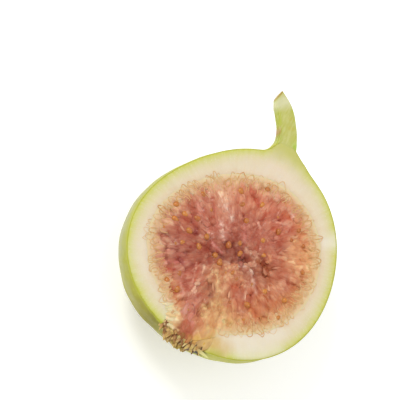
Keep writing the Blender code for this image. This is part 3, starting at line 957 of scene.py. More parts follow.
class FleshMark(Enum):
    """Folds, hollows and pale membranes that stand out in the pulp.

    Each has its root, bend and tip, its radius and its rise over the flesh (in millimetres), and its screen colour.
    """

    HUB_ARM = ((2.0, 1.5), (3.8, 1.5), (5.5, 0.8), 0.8, 0.3, (214, 164, 140))
    HUB_FOOT = ((5.5, 0.8), (5.0, -0.9), (3.5, -2.9), 0.7, 0.3, (210, 158, 130))
    HUB_HOLLOW = ((1.0, -0.6), (2.2, -1.2), (2.6, -2.1), 0.95, -0.15, (164, 98, 88))
    HOLLOW_LIP = ((1.9, -3.1), (2.9, -3.1), (3.5, -2.1), 0.24, 0.4, (232, 204, 188))
    WHITE_PETAL = ((5.4, -2.7), (6.2, -4.5), (8.6, -6.3), 0.55, 0.4, (228, 190, 170))
    LONG_RIDGE = ((-2.5, -7.2), (-0.4, -9.4), (1.1, -13.0), 0.75, 0.4, (228, 194, 146))
    RIDGE_HEAD = ((-3.6, -6.3), (-2.2, -4.6), (0.8, -4.1), 0.5, 0.3, (214, 162, 124))
    MIDDLE_BRIDGE = ((0.8, -4.0), (3.4, -4.0), (4.8, -6.6), 0.8, 0.3, (218, 162, 124))
    RED_POCKET = ((2.4, -8.2), (3.3, -8.3), (3.8, -7.4), 0.6, -0.2, (192, 100, 68))
    DARK_RIGHT = ((6.0, 0.5), (7.4, 0.4), (9.3, 0.1), 0.7, -0.5, (154, 80, 44))
    BROWN_RIGHT = ((8.0, -1.0), (9.9, -1.9), (10.8, -3.6), 0.8, -0.3, (172, 96, 62))
    DARK_LEFT = ((-4.2, -3.4), (-3.1, -3.4), (-1.6, -2.7), 0.32, -0.6, (92, 34, 26))
    DARK_TOP = ((-3.8, 0.0), (-2.3, -0.1), (-0.4, 0.2), 0.38, -0.5, (124, 50, 36))
    PALE_BEAD_A = ((-5.0, -3.8), (-4.6, -4.1), (-4.2, -4.5), 0.3, 0.4, (238, 196, 152))
    PALE_BEAD_B = ((-1.5, -3.7), (-1.0, -3.7), (-0.3, -3.7), 0.3, 0.4, (240, 202, 172))
    SMOKY_HOLLOW = ((-2.9, -10.8), (-1.6, -11.8), (-1.1, -13.2), 0.85, -0.4, (166, 108, 84))
    PINK_PETAL = ((-6.4, 4.2), (-5.2, 2.4), (-4.0, 0.8), 0.6, 0.4, (226, 182, 166))
    ROSE_SLOPE = ((-6.4, -1.2), (-5.0, -1.8), (-3.2, -2.3), 0.45, 0.2, (206, 134, 122))
    LOW_LOBE_A = ((10.5, -3.0), (10.9, -3.8), (11.1, -4.9), 0.65, 0.3, (214, 152, 118))
    THIN_ARM = ((5.9, -6.5), (6.6, -7.5), (6.5, -9.7), 0.40, 0.4, (226, 180, 150))
    BESIDE_ARM = ((7.4, -6.5), (8.5, -8.1), (8.3, -9.9), 0.45, -0.2, (180, 92, 64))
    RIGHT_GLOW = ((7.2, 3.7), (7.9, 3.2), (8.2, 2.3), 0.5, 0.3, (220, 158, 120))
    BROAD_ROSE = ((-13.4, 5.0), (-11.4, 2.4), (-8.1, 0.2), 0.95, 0.2, (214, 150, 130))
    DARK_VALLEY = ((-13.5, 1.8), (-12.5, -0.2), (-10.6, -1.3), 0.55, -0.4, (166, 84, 78))
    STRIP_A = ((-18.5, 4.6), (-17.0, 2.9), (-15.6, 1.2), 0.42, 0.4, (222, 184, 150))
    STRIP_B = ((-18.5, 0.8), (-16.5, -1.3), (-13.7, -2.5), 0.34, 0.4, (218, 170, 142))
    FORK_STEM = ((-17.5, -5.3), (-15.5, -5.2), (-14.0, -6.1), 0.26, 0.5, (232, 198, 172))
    FORK_ARM = ((-17.9, -7.9), (-16.1, -8.1), (-14.0, -6.5), 0.26, 0.5, (230, 192, 166))
    FORK_HOLLOW = ((-18.5, -6.6), (-17.5, -6.0), (-16.1, -5.8), 0.62, -0.6, (158, 84, 70))
    MAUVE_LINE = ((-16.0, -9.0), (-13.9, -7.3), (-10.6, -7.4), 0.2, -0.4, (138, 72, 66))
    MAUVE_DIP = ((-14.9, -10.3), (-14.0, -10.7), (-13.3, -11.3), 0.45, -0.4, (140, 68, 62))
    PALE_FOLD = ((-17.4, -10.8), (-15.4, -10.3), (-14.6, -8.5), 0.3, 0.3, (220, 150, 130))
    TOP_STRAND_A = ((-14.1, 10.8), (-12.0, 8.5), (-10.0, 5.5), 0.42, 0.4, (226, 180, 150))
    TOP_STRAND_B = ((-12.2, 11.9), (-10.2, 9.8), (-7.8, 8.3), 0.34, 0.4, (230, 186, 158))
    TOP_DIP = ((-11.0, 8.1), (-9.1, 5.7), (-7.4, 3.5), 0.4, -0.3, (186, 96, 76))
    PALE_PATCH = ((-7.2, 8.3), (-5.9, 7.4), (-4.3, 5.9), 0.7, 0.3, (226, 184, 166))
    ROSE_TOP = ((-3.7, 15.2), (-2.0, 14.6), (-0.5, 13.5), 1.0, 0.0, (190, 96, 72))
    PEACH_TIP = ((1.3, 17.2), (2.5, 17.6), (3.5, 17.3), 0.55, 0.4, (232, 196, 172))
    ORANGE_TIP = ((4.1, 17.4), (5.1, 17.3), (6.9, 17.0), 0.6, 0.2, (220, 150, 110))
    BROWN_LOBE = ((6.4, 14.1), (7.5, 14.2), (8.2, 14.4), 0.7, -0.2, (196, 104, 68))
    BLUSH_EDGE = ((8.2, 15.4), (9.2, 14.8), (10.0, 14.0), 0.5, 0.4, (236, 192, 172))
    LONG_BLUSH = ((5.7, 11.4), (7.0, 12.2), (9.3, 12.2), 0.36, 0.4, (234, 182, 158))
    AMBER_LOBE = ((10.3, 14.1), (11.8, 14.1), (13.0, 12.5), 0.85, 0.1, (216, 148, 98))
    ROSE_RING = ((7.0, 10.9), (8.7, 10.0), (7.6, 7.7), 0.36, 0.3, (216, 140, 116))
    RED_RING = ((5.7, 9.5), (7.0, 10.2), (8.2, 9.0), 0.36, -0.3, (196, 92, 58))
    PINK_HAZE = ((-1.0, 6.5), (-0.0, 5.1), (0.4, 3.2), 0.8, 0.3, (212, 140, 124))
    LIGHT_OVAL = ((1.4, 8.9), (2.0, 8.6), (2.8, 8.1), 0.45, 0.4, (218, 158, 136))
    LEFT_CURL = ((-15.7, -16.0), (-13.5, -15.3), (-12.2, -13.7), 0.32, 0.5, (230, 190, 158))
    ROSE_FOLD_A = ((-16.2, -10.9), (-14.8, -10.9), (-14.1, -11.8), 0.42, 0.4, (208, 140, 124))
    ROSE_FOLD_B = ((-13.7, -10.8), (-12.2, -10.7), (-11.3, -9.7), 0.36, 0.3, (204, 124, 112))
    RED_DIP_A = ((-13.9, -12.8), (-12.6, -12.6), (-11.6, -12.0), 0.4, -0.4, (176, 74, 62))
    RED_DIP_B = ((-11.6, -9.1), (-10.5, -9.7), (-9.8, -10.6), 0.42, -0.5, (148, 66, 64))
    PINK_BAR = ((-9.3, -13.6), (-8.2, -14.3), (-7.3, -15.9), 0.52, 0.5, (216, 152, 134))
    SEED_CUP = ((-10.6, -15.9), (-9.0, -17.2), (-8.1, -16.0), 0.6, -0.3, (186, 96, 72))
    WHITE_STRAND = ((-5.5, -7.6), (-4.6, -10.5), (-5.9, -15.6), 0.42, 0.5, (232, 188, 158))
    STRAND_MATE = ((-7.6, -7.8), (-6.5, -10.6), (-6.4, -14.0), 0.28, 0.4, (222, 162, 138))
    ORANGE_LINE = ((-7.0, -7.4), (-6.2, -9.9), (-5.9, -12.4), 0.22, -0.3, (190, 84, 56))
    LOWER_FINGER = ((-4.8, -14.7), (-3.6, -15.9), (-2.6, -16.3), 0.46, 0.5, (212, 150, 128))
    ROSE_FINGER = ((-5.5, -17.0), (-4.7, -18.1), (-4.2, -19.7), 0.52, 0.3, (204, 134, 116))
    MAUVE_SIDE = ((-3.9, -17.1), (-3.3, -17.8), (-2.8, -18.6), 0.26, -0.4, (150, 70, 70))
    SMOKY_SIDE = ((-3.3, -12.2), (-2.3, -13.0), (-1.3, -14.5), 0.7, -0.1, (190, 128, 98))
    FAN_RIDGE = ((1.2, -12.9), (2.3, -14.1), (3.3, -15.5), 0.7, 0.2, (214, 174, 118))
    FAN_WHITE = ((2.7, -17.9), (3.4, -18.6), (4.3, -19.4), 0.36, 0.4, (230, 204, 158))
    FAN_PALE = ((3.9, -16.2), (4.9, -17.2), (5.6, -18.3), 0.45, 0.3, (226, 198, 140))
    GOLD_FOOT = ((6.4, -16.8), (7.1, -17.7), (7.2, -19.0), 0.95, 0.1, (220, 190, 118))
    RED_DROP = ((8.4, -14.3), (8.9, -14.5), (9.4, -14.7), 0.52, 0.1, (200, 98, 60))
    WHITE_FORK = ((7.1, -12.4), (7.8, -12.8), (8.2, -11.7), 0.2, 0.5, (236, 206, 184))
    ORANGE_SLOPE = ((8.8, -10.0), (10.2, -10.8), (11.5, -11.7), 0.85, -0.1, (200, 112, 68))
    PALE_SPLAY = ((8.5, -12.3), (11.0, -13.0), (12.5, -12.7), 0.42, 0.4, (228, 184, 142))
    BROWN_MARK = ((-1.9, -17.1), (-1.0, -16.8), (-0.2, -15.3), 0.75, -0.3, (186, 126, 80))
    PEACH_WIDE = ((2.9, -10.8), (3.5, -11.0), (3.4, -13.0), 0.85, 0.2, (216, 158, 122))


def paled(tone: np.ndarray, amount: np.ndarray) -> np.ndarray:
    """Return colours lifted towards a milky rose, by amounts of 0 to 1, less so where they are dark."""
    milky = 0.45 * np.array(linear((228, 180, 148))[:3]) + 0.55 * tone * [1.25, 1.7, 1.8]
    return tone + (milky - tone) * np.asarray(amount)[..., None]


# Sub-assemblies


@dataclass
class Rind:
    """The green skin, the cream cut ring and the hidden cavity wall, as one closed shell."""

    form: FruitForm
    effects: SharedEffects
    around: int = 480
    skin_rings: int = 90
    ring_steps: int = 26
    eye_half_width: float = 6.4 * MM

    def eye_gap(self, x: np.ndarray, y: np.ndarray) -> np.ndarray:
        """Return how deep the eye's channel lies at places on the cut face, from 0 to 1."""
        across = np.abs(x - self.form.eye[0]) / self.eye_half_width
        inside = np.clip(1 - across ** 4, 0, 1) * (y < 0)
        return inside * np.clip((-y / MM - 19.5) / 1.5, 0, 1)

    def skin_part(self, angles: np.ndarray) -> np.ndarray:
        """Return the rings of the skin from the flat spot up to the rim."""
        foot = math.asin(self.form.cut / self.form.depth)
        dips = np.linspace(foot, 0.0, self.skin_rings)
        points = self.form.skin(angles[None, :], dips[:, None])
        fade = np.sin(np.clip(dips / foot, 0, 1) * math.pi)[:, None] ** 0.5
        push = 0.12 * MM * Ripples(5, 9 * MM).at(points) * fade
        outward = points * [1, 1, 0]
        outward /= np.linalg.norm(outward, axis=-1, keepdims=True)
        points = points + outward * push[..., None]
        points[points[..., 2] < 1e-6, 2] = 0.0
        return points

    def cut_part(self, angles: np.ndarray) -> np.ndarray:
        """Return the rings of the cut face from the rim in to the pulp, and on down the cavity."""
        rim = self.form.rim_reach(angles)
        lip = self.form.cavity_reach(angles)
        ray = rays(angles)
        rings = []
        edge = self.form.edge_round
        for turn in np.linspace(0.25, 1, 4) * math.pi / 2:
            reach = rim - edge * math.sin(turn) * 0.9
            z = np.full_like(reach, self.form.cut - edge * (1 - math.sin(turn)))
            rings.append(np.concatenate([ray * reach[:, None], z[:, None]], axis=1))
        for step in np.linspace(0, 1, self.ring_steps)[1:]:
            flat = ray * ((rim - edge) * (1 - step) + (lip - self.form.lip) * step)[:, None]
            under = 0.6 * MM * np.clip((0.985 - self.form.share(*flat.T)) / 0.03, 0, 1)
            rings.append(np.concatenate([flat, (self.form.cut_height(*flat.T) - under)[:, None]], axis=1))
        for dip in np.radians([4, 12, 25, 42, 62, 80]):
            reach = (lip - self.form.lip) * math.cos(dip)
            z = np.full_like(reach, self.form.cut - 0.9 * MM - (self.form.cavity_depth - MM) * math.sin(dip))
            rings.append(np.concatenate([ray * reach[:, None], z[:, None]], axis=1))
        return np.array(rings)

    def build(self) -> bpy.types.Object:
        """Make the shell with its two finishes.

        Returns:
            The finished piece.
        """
        angles = np.arange(self.around) * FULL_TURN / self.around
        skin = self.skin_part(angles)
        rings = np.concatenate([skin, self.cut_part(angles)])
        x, y, z = rings[..., 0], rings[..., 1], rings[..., 2]
        gap = self.eye_gap(x, y)
        bowl = np.sqrt(np.clip(1 - ((x - self.form.eye[0]) / self.eye_half_width) ** 2, 0, 1))
        channel = self.form.cut - 3.4 * MM * bowl * gap
        sunk = (gap > 0) & (z > self.form.cut - 5 * MM)
        rings[..., 2] = np.where(sunk, np.minimum(z, channel), z)
        points, faces = closed_rings(rings, tips=[[0, 0, 0.0], [0, 0, rings[-1, :, 2].mean() - 0.2 * MM]])
        outside = (len(skin) + 1) * self.around
        slots = np.repeat([0, 1, 0, 1], [outside, len(faces) - outside - 2 * self.around, self.around, self.around])
        buffer = MeshBuffer()
        buffer.add(points, faces, slots, **self.masks(points))
        return buffer.build("rind_shell", SkinFinish(self.effects).build(), FleshFinish(self.effects).build())

    def masks(self, points: np.ndarray) -> dict[str, np.ndarray]:
        """Return the masks that the skin and flesh finishes read.

        Args:
            points: Points of the shell.

        Returns:
            Values by attribute name; distances are in millimetres.
        """
        x, y, z = points.T
        angle = np.arctan2(y, x)
        reach = np.hypot(x, y)
        from_skin = (self.form.rim_reach(angle) - reach) / MM
        from_pulp = (reach - self.form.cavity_reach(angle)) / MM
        wobble = Ripples(21, 5 * MM).at(points)
        neck = np.exp(-((x / MM + 0.4) ** 2 + (y / MM - 29.8) ** 2) / 2.3 ** 2)
        below = (self.form.cut - z) / MM
        aside = np.angle(np.exp(1j * (angle + math.radians(168))))
        # The grey waxy bloom is partly a painted highlight: it is laid as a pale grey patch on one flank, a little
        # below the cut face.
        grey = np.exp(-(aside / 0.5) ** 2) * np.exp(-((below - 4.5) / 3.0) ** 2)
        # Painted shade: the skin on the side towards the eye darkens to olive, more so further below the cut face.
        dusk = np.exp(-((angle - math.radians(-116)) / 0.36) ** 2) * np.clip(0.6 + 0.2 * below + 0.25 * wobble, 0, 1)
        # Painted shadow: a near-black patch on the skin just under the eye, and a lighter darkening beside it further
        # round.
        bruise = np.exp(-((x / MM - 1.4) / 2.8) ** 4) * (y < 0) * np.clip((below - 0.2 + 0.2 * wobble) / 0.3, 0, 1)
        bruise = bruise * np.clip((5.5 - below) / 1.5, 0, 1)
        beside = np.exp(-((angle - math.radians(-111)) / 0.14) ** 2) * np.clip((below + 0.6 * wobble) / 2.0, 0, 0.3)
        bruise = np.maximum(bruise, beside * np.clip((9 - below) / 3, 0, 1))

        def spot(sx: float, sy: float, radius: float) -> np.ndarray:
            """Return a soft uneven patch round a place on the cut face."""
            return np.clip(1.25 - np.hypot(x / MM - sx, y / MM - sy) / radius + 0.25 * wobble, 0, 1)

        return {
            "from_skin": np.clip(from_skin + 0.6 * neck, 0, 20),
            "from_pulp": np.clip(from_pulp, -2, 20),
            # Painted glow: the skin's thin cut edge is lit up bright yellow green, standing in for light passing
            # through it.
            "rim": np.clip(1 - below / 0.5, 0, 1) * (from_skin < 0.6) * (1 - neck),
            "bloom": np.clip(grey + 0.12 * wobble, 0, 0.8),
            "dusk": 0.9 * dusk,
            "bruise": np.clip(bruise, 0, 0.95),
            "neck": np.clip((y / MM - 23.0) / 5.6 + 0.06 * wobble, 0, 1) ** 1.4,
            "white": np.max([spot(20.8, 14.6, 3.2) * (from_pulp > 0.2), 0.8 * spot(14.0, -18.0, 8.0),
                             0.4 * spot(-19.0, -12.0, 7.0)], axis=0),
            "gold": np.maximum(0.8 * spot(4.6, -22.8, 2.8), 0.5 * spot(7.5, -22.4, 2.4)),
            "olive": spot(6.0, -25.4, 2.4) * np.clip(1.6 - from_skin / 1.6, 0, 1),
        }


def bend_through(start: Sequence[float], bend: Sequence[float], end: Sequence[float], t: np.ndarray) -> np.ndarray:
    """Return points of the curve from a start to an end that leans towards a bend, at shares of 0 to 1."""
    t = np.asarray(t)[:, None]
    return np.array(start) * (1 - t) ** 2 + np.array(bend) * 2 * t * (1 - t) + np.array(end) * t ** 2


class FleshField:
    """Height and colour of the pulp's surface on a square grid, blended from all that lies in it."""

    def __init__(self, form: FruitForm, sink: float, relief: float) -> None:
        """Lay out the plain surface before anything is pressed into it.

        Args:
            form: The half fruit.
            sink: Depth of the plain surface below the cut face.
            relief: Height of its folds.
        """
        self.cell = 0.13 * MM
        self.half = 26.6 * MM
        self.size = int(2 * self.half / self.cell) + 1
        line = np.arange(self.size) * self.cell - self.half
        x, y = np.meshgrid(line, line, indexing="ij")
        share = form.share(x, y)
        self.colour = PulpZone.colour_at(x, y, share)
        self.rise = np.zeros(x.shape)
        self.marked = np.zeros(x.shape)
        self.room = np.clip((0.94 - share) / 0.14, 0, 1)
        for mark in FleshMark:
            self.paint(x, y, mark)
        wander = Ripples(3, 6 * MM).at(on_plane(x, y))
        bent = np.arctan2(y, x) + 0.25 * wander
        inner = 9 * np.minimum(1, np.hypot(x, y) / CORE)
        ray = np.stack([np.cos(bent) * inner, np.sin(bent) * inner, share * 3.2 + 0.6 * wander], axis=-1)
        folds = np.clip(0.8 - np.abs(Ripples(4, 2.3, 30).at(ray)) + 0.2 * Ripples(6, 0.9, 30).at(ray), 0, 1)
        rise = np.clip((share - 0.82) / 0.12, 0, 1)
        self.height = form.cut - sink * (1 - rise) + self.rise
        self.height += relief * folds * (1 - 0.7 * rise * (1 - form.towards_eye(np.arctan2(y, x))))
        self.height = np.minimum(self.height, form.cut + 0.12 * MM) - 0.10 * MM * rise
        # Painted shade: the flesh is darker and redder in the valleys between the folds; the rim and the marks stay
        # light.
        shade = (0.72 + 0.28 * np.clip(folds + rise + 0.6 * self.marked, 0, 1))[..., None]
        self.weight = 0.3 + 4.0 * self.marked
        self.tone = self.colour * shade ** [0.8, 1.2, 1.3] * self.weight[..., None]

    def paint(self, x: np.ndarray, y: np.ndarray, mark: FleshMark) -> None:
        """Lay one mark softly over the plain colour and height.

        Args:
            x: Places of the grid across.
            y: Places of the grid along.
            mark: The mark.
        """
        start, bend, end, radius, rise, shade = mark.value
        line = bend_through(start, bend, end, np.linspace(0, 1, 16)) * MM
        reach = 2.2 * radius * MM
        low = np.maximum(((line.min(axis=0) - reach + self.half) / self.cell).astype(int), 0)
        high = np.maximum(((line.max(axis=0) + reach + self.half) / self.cell).astype(int), 1)
        part = np.s_[low[0]:high[0], low[1]:high[1]]
        wobble = 0.35 * MM * Ripples(17, 2.2 * MM).at(on_plane(x[part], y[part]))
        gap = np.hypot(x[part][..., None] - line[:, 0], y[part][..., None] - line[:, 1]).min(axis=-1)
        cover = np.exp(-(np.clip(gap + wobble * min(1.0, radius), 0, None) / (radius * MM)) ** 2.2) * self.room[part]
        tint = np.array(linear(shade)[:3]) * [0.97, 0.90, 0.86]
        self.colour[part] += (tint - self.colour[part]) * (0.9 * cover)[..., None]
        self.rise[part] = self.rise[part] * (1 - cover) + rise * MM * cover
        self.marked[part] = np.maximum(self.marked[part], cover)

    def press(self, points: np.ndarray, thickness: np.ndarray, tone: np.ndarray, bare: float = 0.05 * MM) -> None:
        """Let strands or drops swell the surface round them and lend it their colour.

        Args:
            points: Middles, as rows.
            thickness: Radius at each.
            tone: Linear colour at each.
            bare: How far they stand out of the swelling.
        """
        reach = math.ceil(1.1 * MM / self.cell)
        steps = np.arange(-reach, reach + 1)
        along, across = (grid.ravel() for grid in np.meshgrid(steps, steps))
        column = np.rint((points[:, 0] + self.half) / self.cell).astype(int)[:, None] + along
        row = np.rint((points[:, 1] + self.half) / self.cell).astype(int)[:, None] + across
        inside = (column >= 0) & (column < self.size) & (row >= 0) & (row < self.size)
        gap = np.hypot(column * self.cell - self.half - points[:, :1], row * self.cell - self.half - points[:, 1:2])
        thick = thickness[:, None]
        swell = points[:, 2:] + thick - bare - 0.26 * gap ** 2 / thick
        near = inside & (gap < 1.5 * thick)
        np.maximum.at(self.height, (column[near], row[near]), swell[near])
        plain = self.read(self.colour[..., 1], points[:, 0], points[:, 1])
        weight = np.exp(-(gap / (0.85 * thick)) ** 2) * (np.clip(tone[:, 1] / plain, 0.8, 2.2) ** 3)[:, None]
        near = inside & (gap < 2 * thick)
        cells = (column * self.size + row)[near]
        self.weight += np.bincount(cells, weight[near], self.size ** 2).reshape(self.weight.shape)
        for channel in range(3):
            lent = (weight * tone[:, channel:channel + 1])[near]
            self.tone[..., channel] += np.bincount(cells, lent, self.size ** 2).reshape(self.weight.shape)

    def read(self, values: np.ndarray, x: np.ndarray, y: np.ndarray) -> np.ndarray:
        """Return grid values at places, blended between the four nearest cells.

        Args:
            values: A grid of this field.
            x: Places across.
            y: Places along.

        Returns:
            The values there.
        """
        u = np.clip((x + self.half) / self.cell, 0, self.size - 1.001)
        v = np.clip((y + self.half) / self.cell, 0, self.size - 1.001)
        i, j = u.astype(int), v.astype(int)
        s, t = u - i, v - j
        if values.ndim == 3:
            s, t = s[..., None], t[..., None]
        low = values[i, j] * (1 - s) + values[i + 1, j] * s
        high = values[i, j + 1] * (1 - s) + values[i + 1, j + 1] * s
        return low * (1 - t) + high * t


@dataclass
class PulpBed:
    """The continuous flesh that the florets sit in, with a small hollow beside the middle that is painted darker as
    shade.
    """

    form: FruitForm
    steps: int = 308
    hollow_at: tuple = (2.3 * MM, -1.3 * MM)
    hollow_reach: float = 1.25 * MM
    hollow_depth: float = 0.3 * MM

    def build(self, surface: FleshField, material: bpy.types.Material) -> bpy.types.Object:
        """Make the bed on a square grid that is drawn out to the outline of the pulp.

        Args:
            surface: Height and colour of the flesh.
            material: Its finish.

        Returns:
            The finished piece, closed underneath.
        """
        n = self.steps
        line = np.linspace(-1, 1, n)
        u, v = np.meshgrid(line, line, indexing="ij")
        x, y = u * np.sqrt(1 - v ** 2 / 2), v * np.sqrt(1 - u ** 2 / 2)
        reach = self.form.pulp_reach(np.arctan2(y, x))
        x, y = x * reach, y * reach
        calm = self.form.calm(x, y) * (1 - surface.read(surface.marked, x, y))
        hollow = np.exp(-(np.hypot(x - self.hollow_at[0], y - self.hollow_at[1]) / self.hollow_reach) ** 4)
        z = surface.read(surface.height, x, y) - hollow * self.hollow_depth
        seam = np.clip((self.form.share(x, y) - 0.94) / 0.06, 0, 1) ** 2
        z = z * (1 - seam) + (self.form.cut_height(x, y) - 0.01 * MM) * seam
        # Painted shade: the tone is darkened in the hollow beside the middle.
        tone = surface.read(surface.tone / surface.weight[..., None], x, y) * (1 - 0.25 * hollow[..., None])
        grid = np.arange(n * n).reshape(n, n)
        rim = np.concatenate([grid[:-1, 0], grid[-1, :-1], grid[:0:-1, -1], grid[0, :0:-1]])
        top = np.stack([x, y, z], axis=-1).reshape(-1, 3)
        wall = top[rim] * [1, 1, 0] + [0, 0, self.form.cut - 3 * MM]
        points = np.concatenate([top, wall, [[0, 0, self.form.cut - 3 * MM]]])
        colours = tone.reshape(-1, 3)
        colours = np.concatenate([colours, colours[rim], colours[:1]])
        calm = np.concatenate([calm.ravel(), np.ones(len(rim) + 1)])
        cells = np.stack([grid[:-1, :-1], grid[1:, :-1], grid[1:, 1:], grid[:-1, 1:]], axis=-1).reshape(-1, 4)
        low = n * n + np.arange(len(rim))
        walls = np.stack([rim, low, np.roll(low, -1), np.roll(rim, -1)], axis=-1)
        buffer = MeshBuffer()
        buffer.add(points, np.concatenate([cells, walls, fan(low[::-1], len(points) - 1)]), tone=colours, calm=calm)
        return buffer.build("pulp_bed", material)


class Profile(Enum):
    """How a strand's thickness changes along it: at its root, at its fullest, and where that is."""

    THREAD = (0.75, 1.0, 0.5)
    CLUB = (0.28, 1.15, 0.70)
    TONGUE = (0.55, 1.1, 0.45)

    def thickness(self, t: np.ndarray) -> np.ndarray:
        """Return the share of the full thickness at each share of the length."""
        root, full, peak = self.value
        rise = 0.5 - 0.5 * np.cos(math.pi * np.clip(t / peak, 0, 1))
        fall = np.sqrt(np.clip(1 - ((t - peak) / (1.02 - peak)) ** 2, 0, 1))
        return np.where(t < peak, root + (full - root) * rise, full * fall) * np.clip(t / 0.05, 0.4, 1)


@dataclass(frozen=True)
class StrandFamily:
    """A kind of strand in the pulp: how many there are, where they start and how they run.

    Lengths and thicknesses are in millimetres; inner and outer are shares of the pulp's reach.
    """

    name: str
    count: int
    inner: float
    outer: float
    length: tuple
    thickness: tuple
    spread: float
    bend: float
    lift: float
    arch: float
    profile: Profile
    paleness: float
    seed: int
    steps: int = 13
    wiggle: float = 0.3
    bare: float = -0.02 * MM
    fan: Optional[tuple] = None


@dataclass
class Pulp:
    """The florets in their bed: rim loops, strands, drupelets, seeds and thin flaps."""

    form: FruitForm
    effects: SharedEffects
    families: tuple = (
        StrandFamily("florets_outer", 290, 0.72, 0.98, (3.0, 5.6), (0.40, 0.74), 0.35, 0.9, -0.04, 0.16, Profile.CLUB,
                     0.95, 31),
        StrandFamily("florets_middle", 260, 0.38, 0.78, (2.8, 5.0), (0.40, 0.74), 0.45, 1.0, -0.10, 0.25,
                     Profile.CLUB, 0.85, 32),
        StrandFamily("florets_inner", 170, 0.06, 0.42, (1.8, 3.4), (0.32, 0.60), 0.9, 1.0, -0.25, 0.30,
                     Profile.CLUB, 0.55, 33),
        StrandFamily("pale_strands", 80, 0.45, 0.96, (3.0, 6.0), (0.18, 0.32), 0.30, 0.8, -0.02, 0.16,
                     Profile.TONGUE, 0.8, 34, wiggle=0.5, bare=0.05 * MM),
        StrandFamily("top_bundle", 24, 0.60, 0.97, (7.0, 11.0), (0.40, 0.72), 0.08, 0.30, 0.08, 0.20,
                     Profile.TONGUE, 0.75, 35, fan=(130, 9)),
        StrandFamily("eye_fan", 30, 0.50, 0.97, (5.0, 9.0), (0.40, 0.70), 0.12, 0.35, 0.05, 0.22,
                     Profile.TONGUE, 0.6, 36, fan=(290, 14)),
    )
    seed_spots: tuple = (
        (-13.4, 7.7), (-5.5, 13.5), (0.4, 17.5), (-3.8, 10.8), (-18.2, 2.1), (-15.1, 1.2), (-16.8, -1.2), (-12.1, 1.8),
        (-18.3, -4.5), (-12.5, -1.9), (-8.1, -0.8), (-12.7, -5.2), (-8.8, -4.0), (-1.1, 7.9), (0.7, 13.4), (7.2, 9.6),
        (11.7, 12.8), (4.5, 5.8), (10.9, 9.5), (-0.2, 2.0), (-2.4, 0.2), (-4.2, -3.6), (-2.6, -4.6), (1.0, -0.2),
        (6.3, 2.5), (-10.2, -12.2), (-12.1, -15.3), (-8.9, -15.8), (2.6, -6.2), (1.3, -5.3), (10.4, -5.2),
        (7.8, -10.3), (9.0, -13.9), (16.1, -9.1), (15.7, -4.6), (16.8, 4.0))
    drupelets: int = 330
    rim_loops: int = 210
    small_seeds: int = 16
    flaps: int = 40
    flap_paleness: float = 0.45

    def __post_init__(self) -> None:
        """Lay out the flesh that everything sits in."""
        self.surface = FleshField(self.form, 0.6 * MM, 0.3 * MM)

    def tint(self, x: np.ndarray, y: np.ndarray) -> np.ndarray:
        """Return the pulp's colour at places on the cut face."""
        return self.surface.read(self.surface.colour, x, y)

    def marked(self, x: np.ndarray, y: np.ndarray) -> np.ndarray:
        """Return how strongly a mark covers places on the cut face, from 0 to 1."""
        return self.surface.read(self.surface.marked, x, y)

    def path(self, family: StrandFamily) -> tuple[np.ndarray, dict[str, np.ndarray]]:
        """Lay out one family of strands.

        Args:
            family: The family.

        Returns:
            Points with axes of strand, step and x, y, z, and their attributes.
        """
        rng = np.random.default_rng(family.seed)
        n, k = family.count, family.steps
        if family.fan:
            middle, half = family.fan
            angle = np.radians(middle + half * rng.uniform(-1, 1, n))
        else:
            angle = (np.arange(n) * GOLDEN_ANGLE + rng.normal(0, 0.05, n)) % FULL_TURN
        share = np.sqrt(rng.uniform(family.inner ** 2, family.outer ** 2, n))
        reach = self.form.pulp_reach(angle) * share
        start = rays(angle) * reach[:, None]
        t = np.linspace(0, 1, k)[None, :]
        step = rng.uniform(*family.length, (n, 1)) * MM / (k - 1)
        heading = angle + math.pi + rng.normal(0, family.spread, n)
        sway = np.sin(FULL_TURN * (t * rng.uniform(0.6, 1.4, (n, 1)) + rng.uniform(0, 1, (n, 1))))
        turn = heading[:, None] + rng.normal(0, family.bend, (n, 1)) * (t - 0.5) + family.wiggle * sway
        x = start[:, :1] + (np.cumsum(np.cos(turn), axis=1) - np.cos(turn[:, :1])) * step
        y = start[:, 1:] + (np.cumsum(np.sin(turn), axis=1) - np.sin(turn[:, :1])) * step
        thick = rng.uniform(*family.thickness, (n, 1)) * MM
        thickness = thick * family.profile.thickness(t)
        crown = family.lift + rng.normal(0, 0.10, (n, 1)) + family.arch * np.sin(math.pi * t)
        z = self.form.cut + (crown - 0.45 * (1 - t) ** 3 - 0.3 * t ** 4) * MM - thick
        marked = self.marked(x, y)
        z = z + 0.6 * np.minimum(self.surface.read(self.surface.rise, x, y), 0)
        thickness = thickness * (1 - 0.8 * marked)
        amount = family.paleness * rng.beta(0.5, 0.9, (n, 1)) * (0.4 + 0.6 * np.sin(math.pi * t))
        amount = amount * (1 - 0.8 * marked)
        shade = rng.uniform(0.86, 1.06, (n, 1))[..., None]
        points = np.stack([x, y, z + 0 * t], axis=-1)
        return points, {"thickness": thickness, "tone": paled(self.tint(x, y), amount) * shade ** [0.7, 1.2, 1.3],
                        "calm": self.form.calm(x, y)}

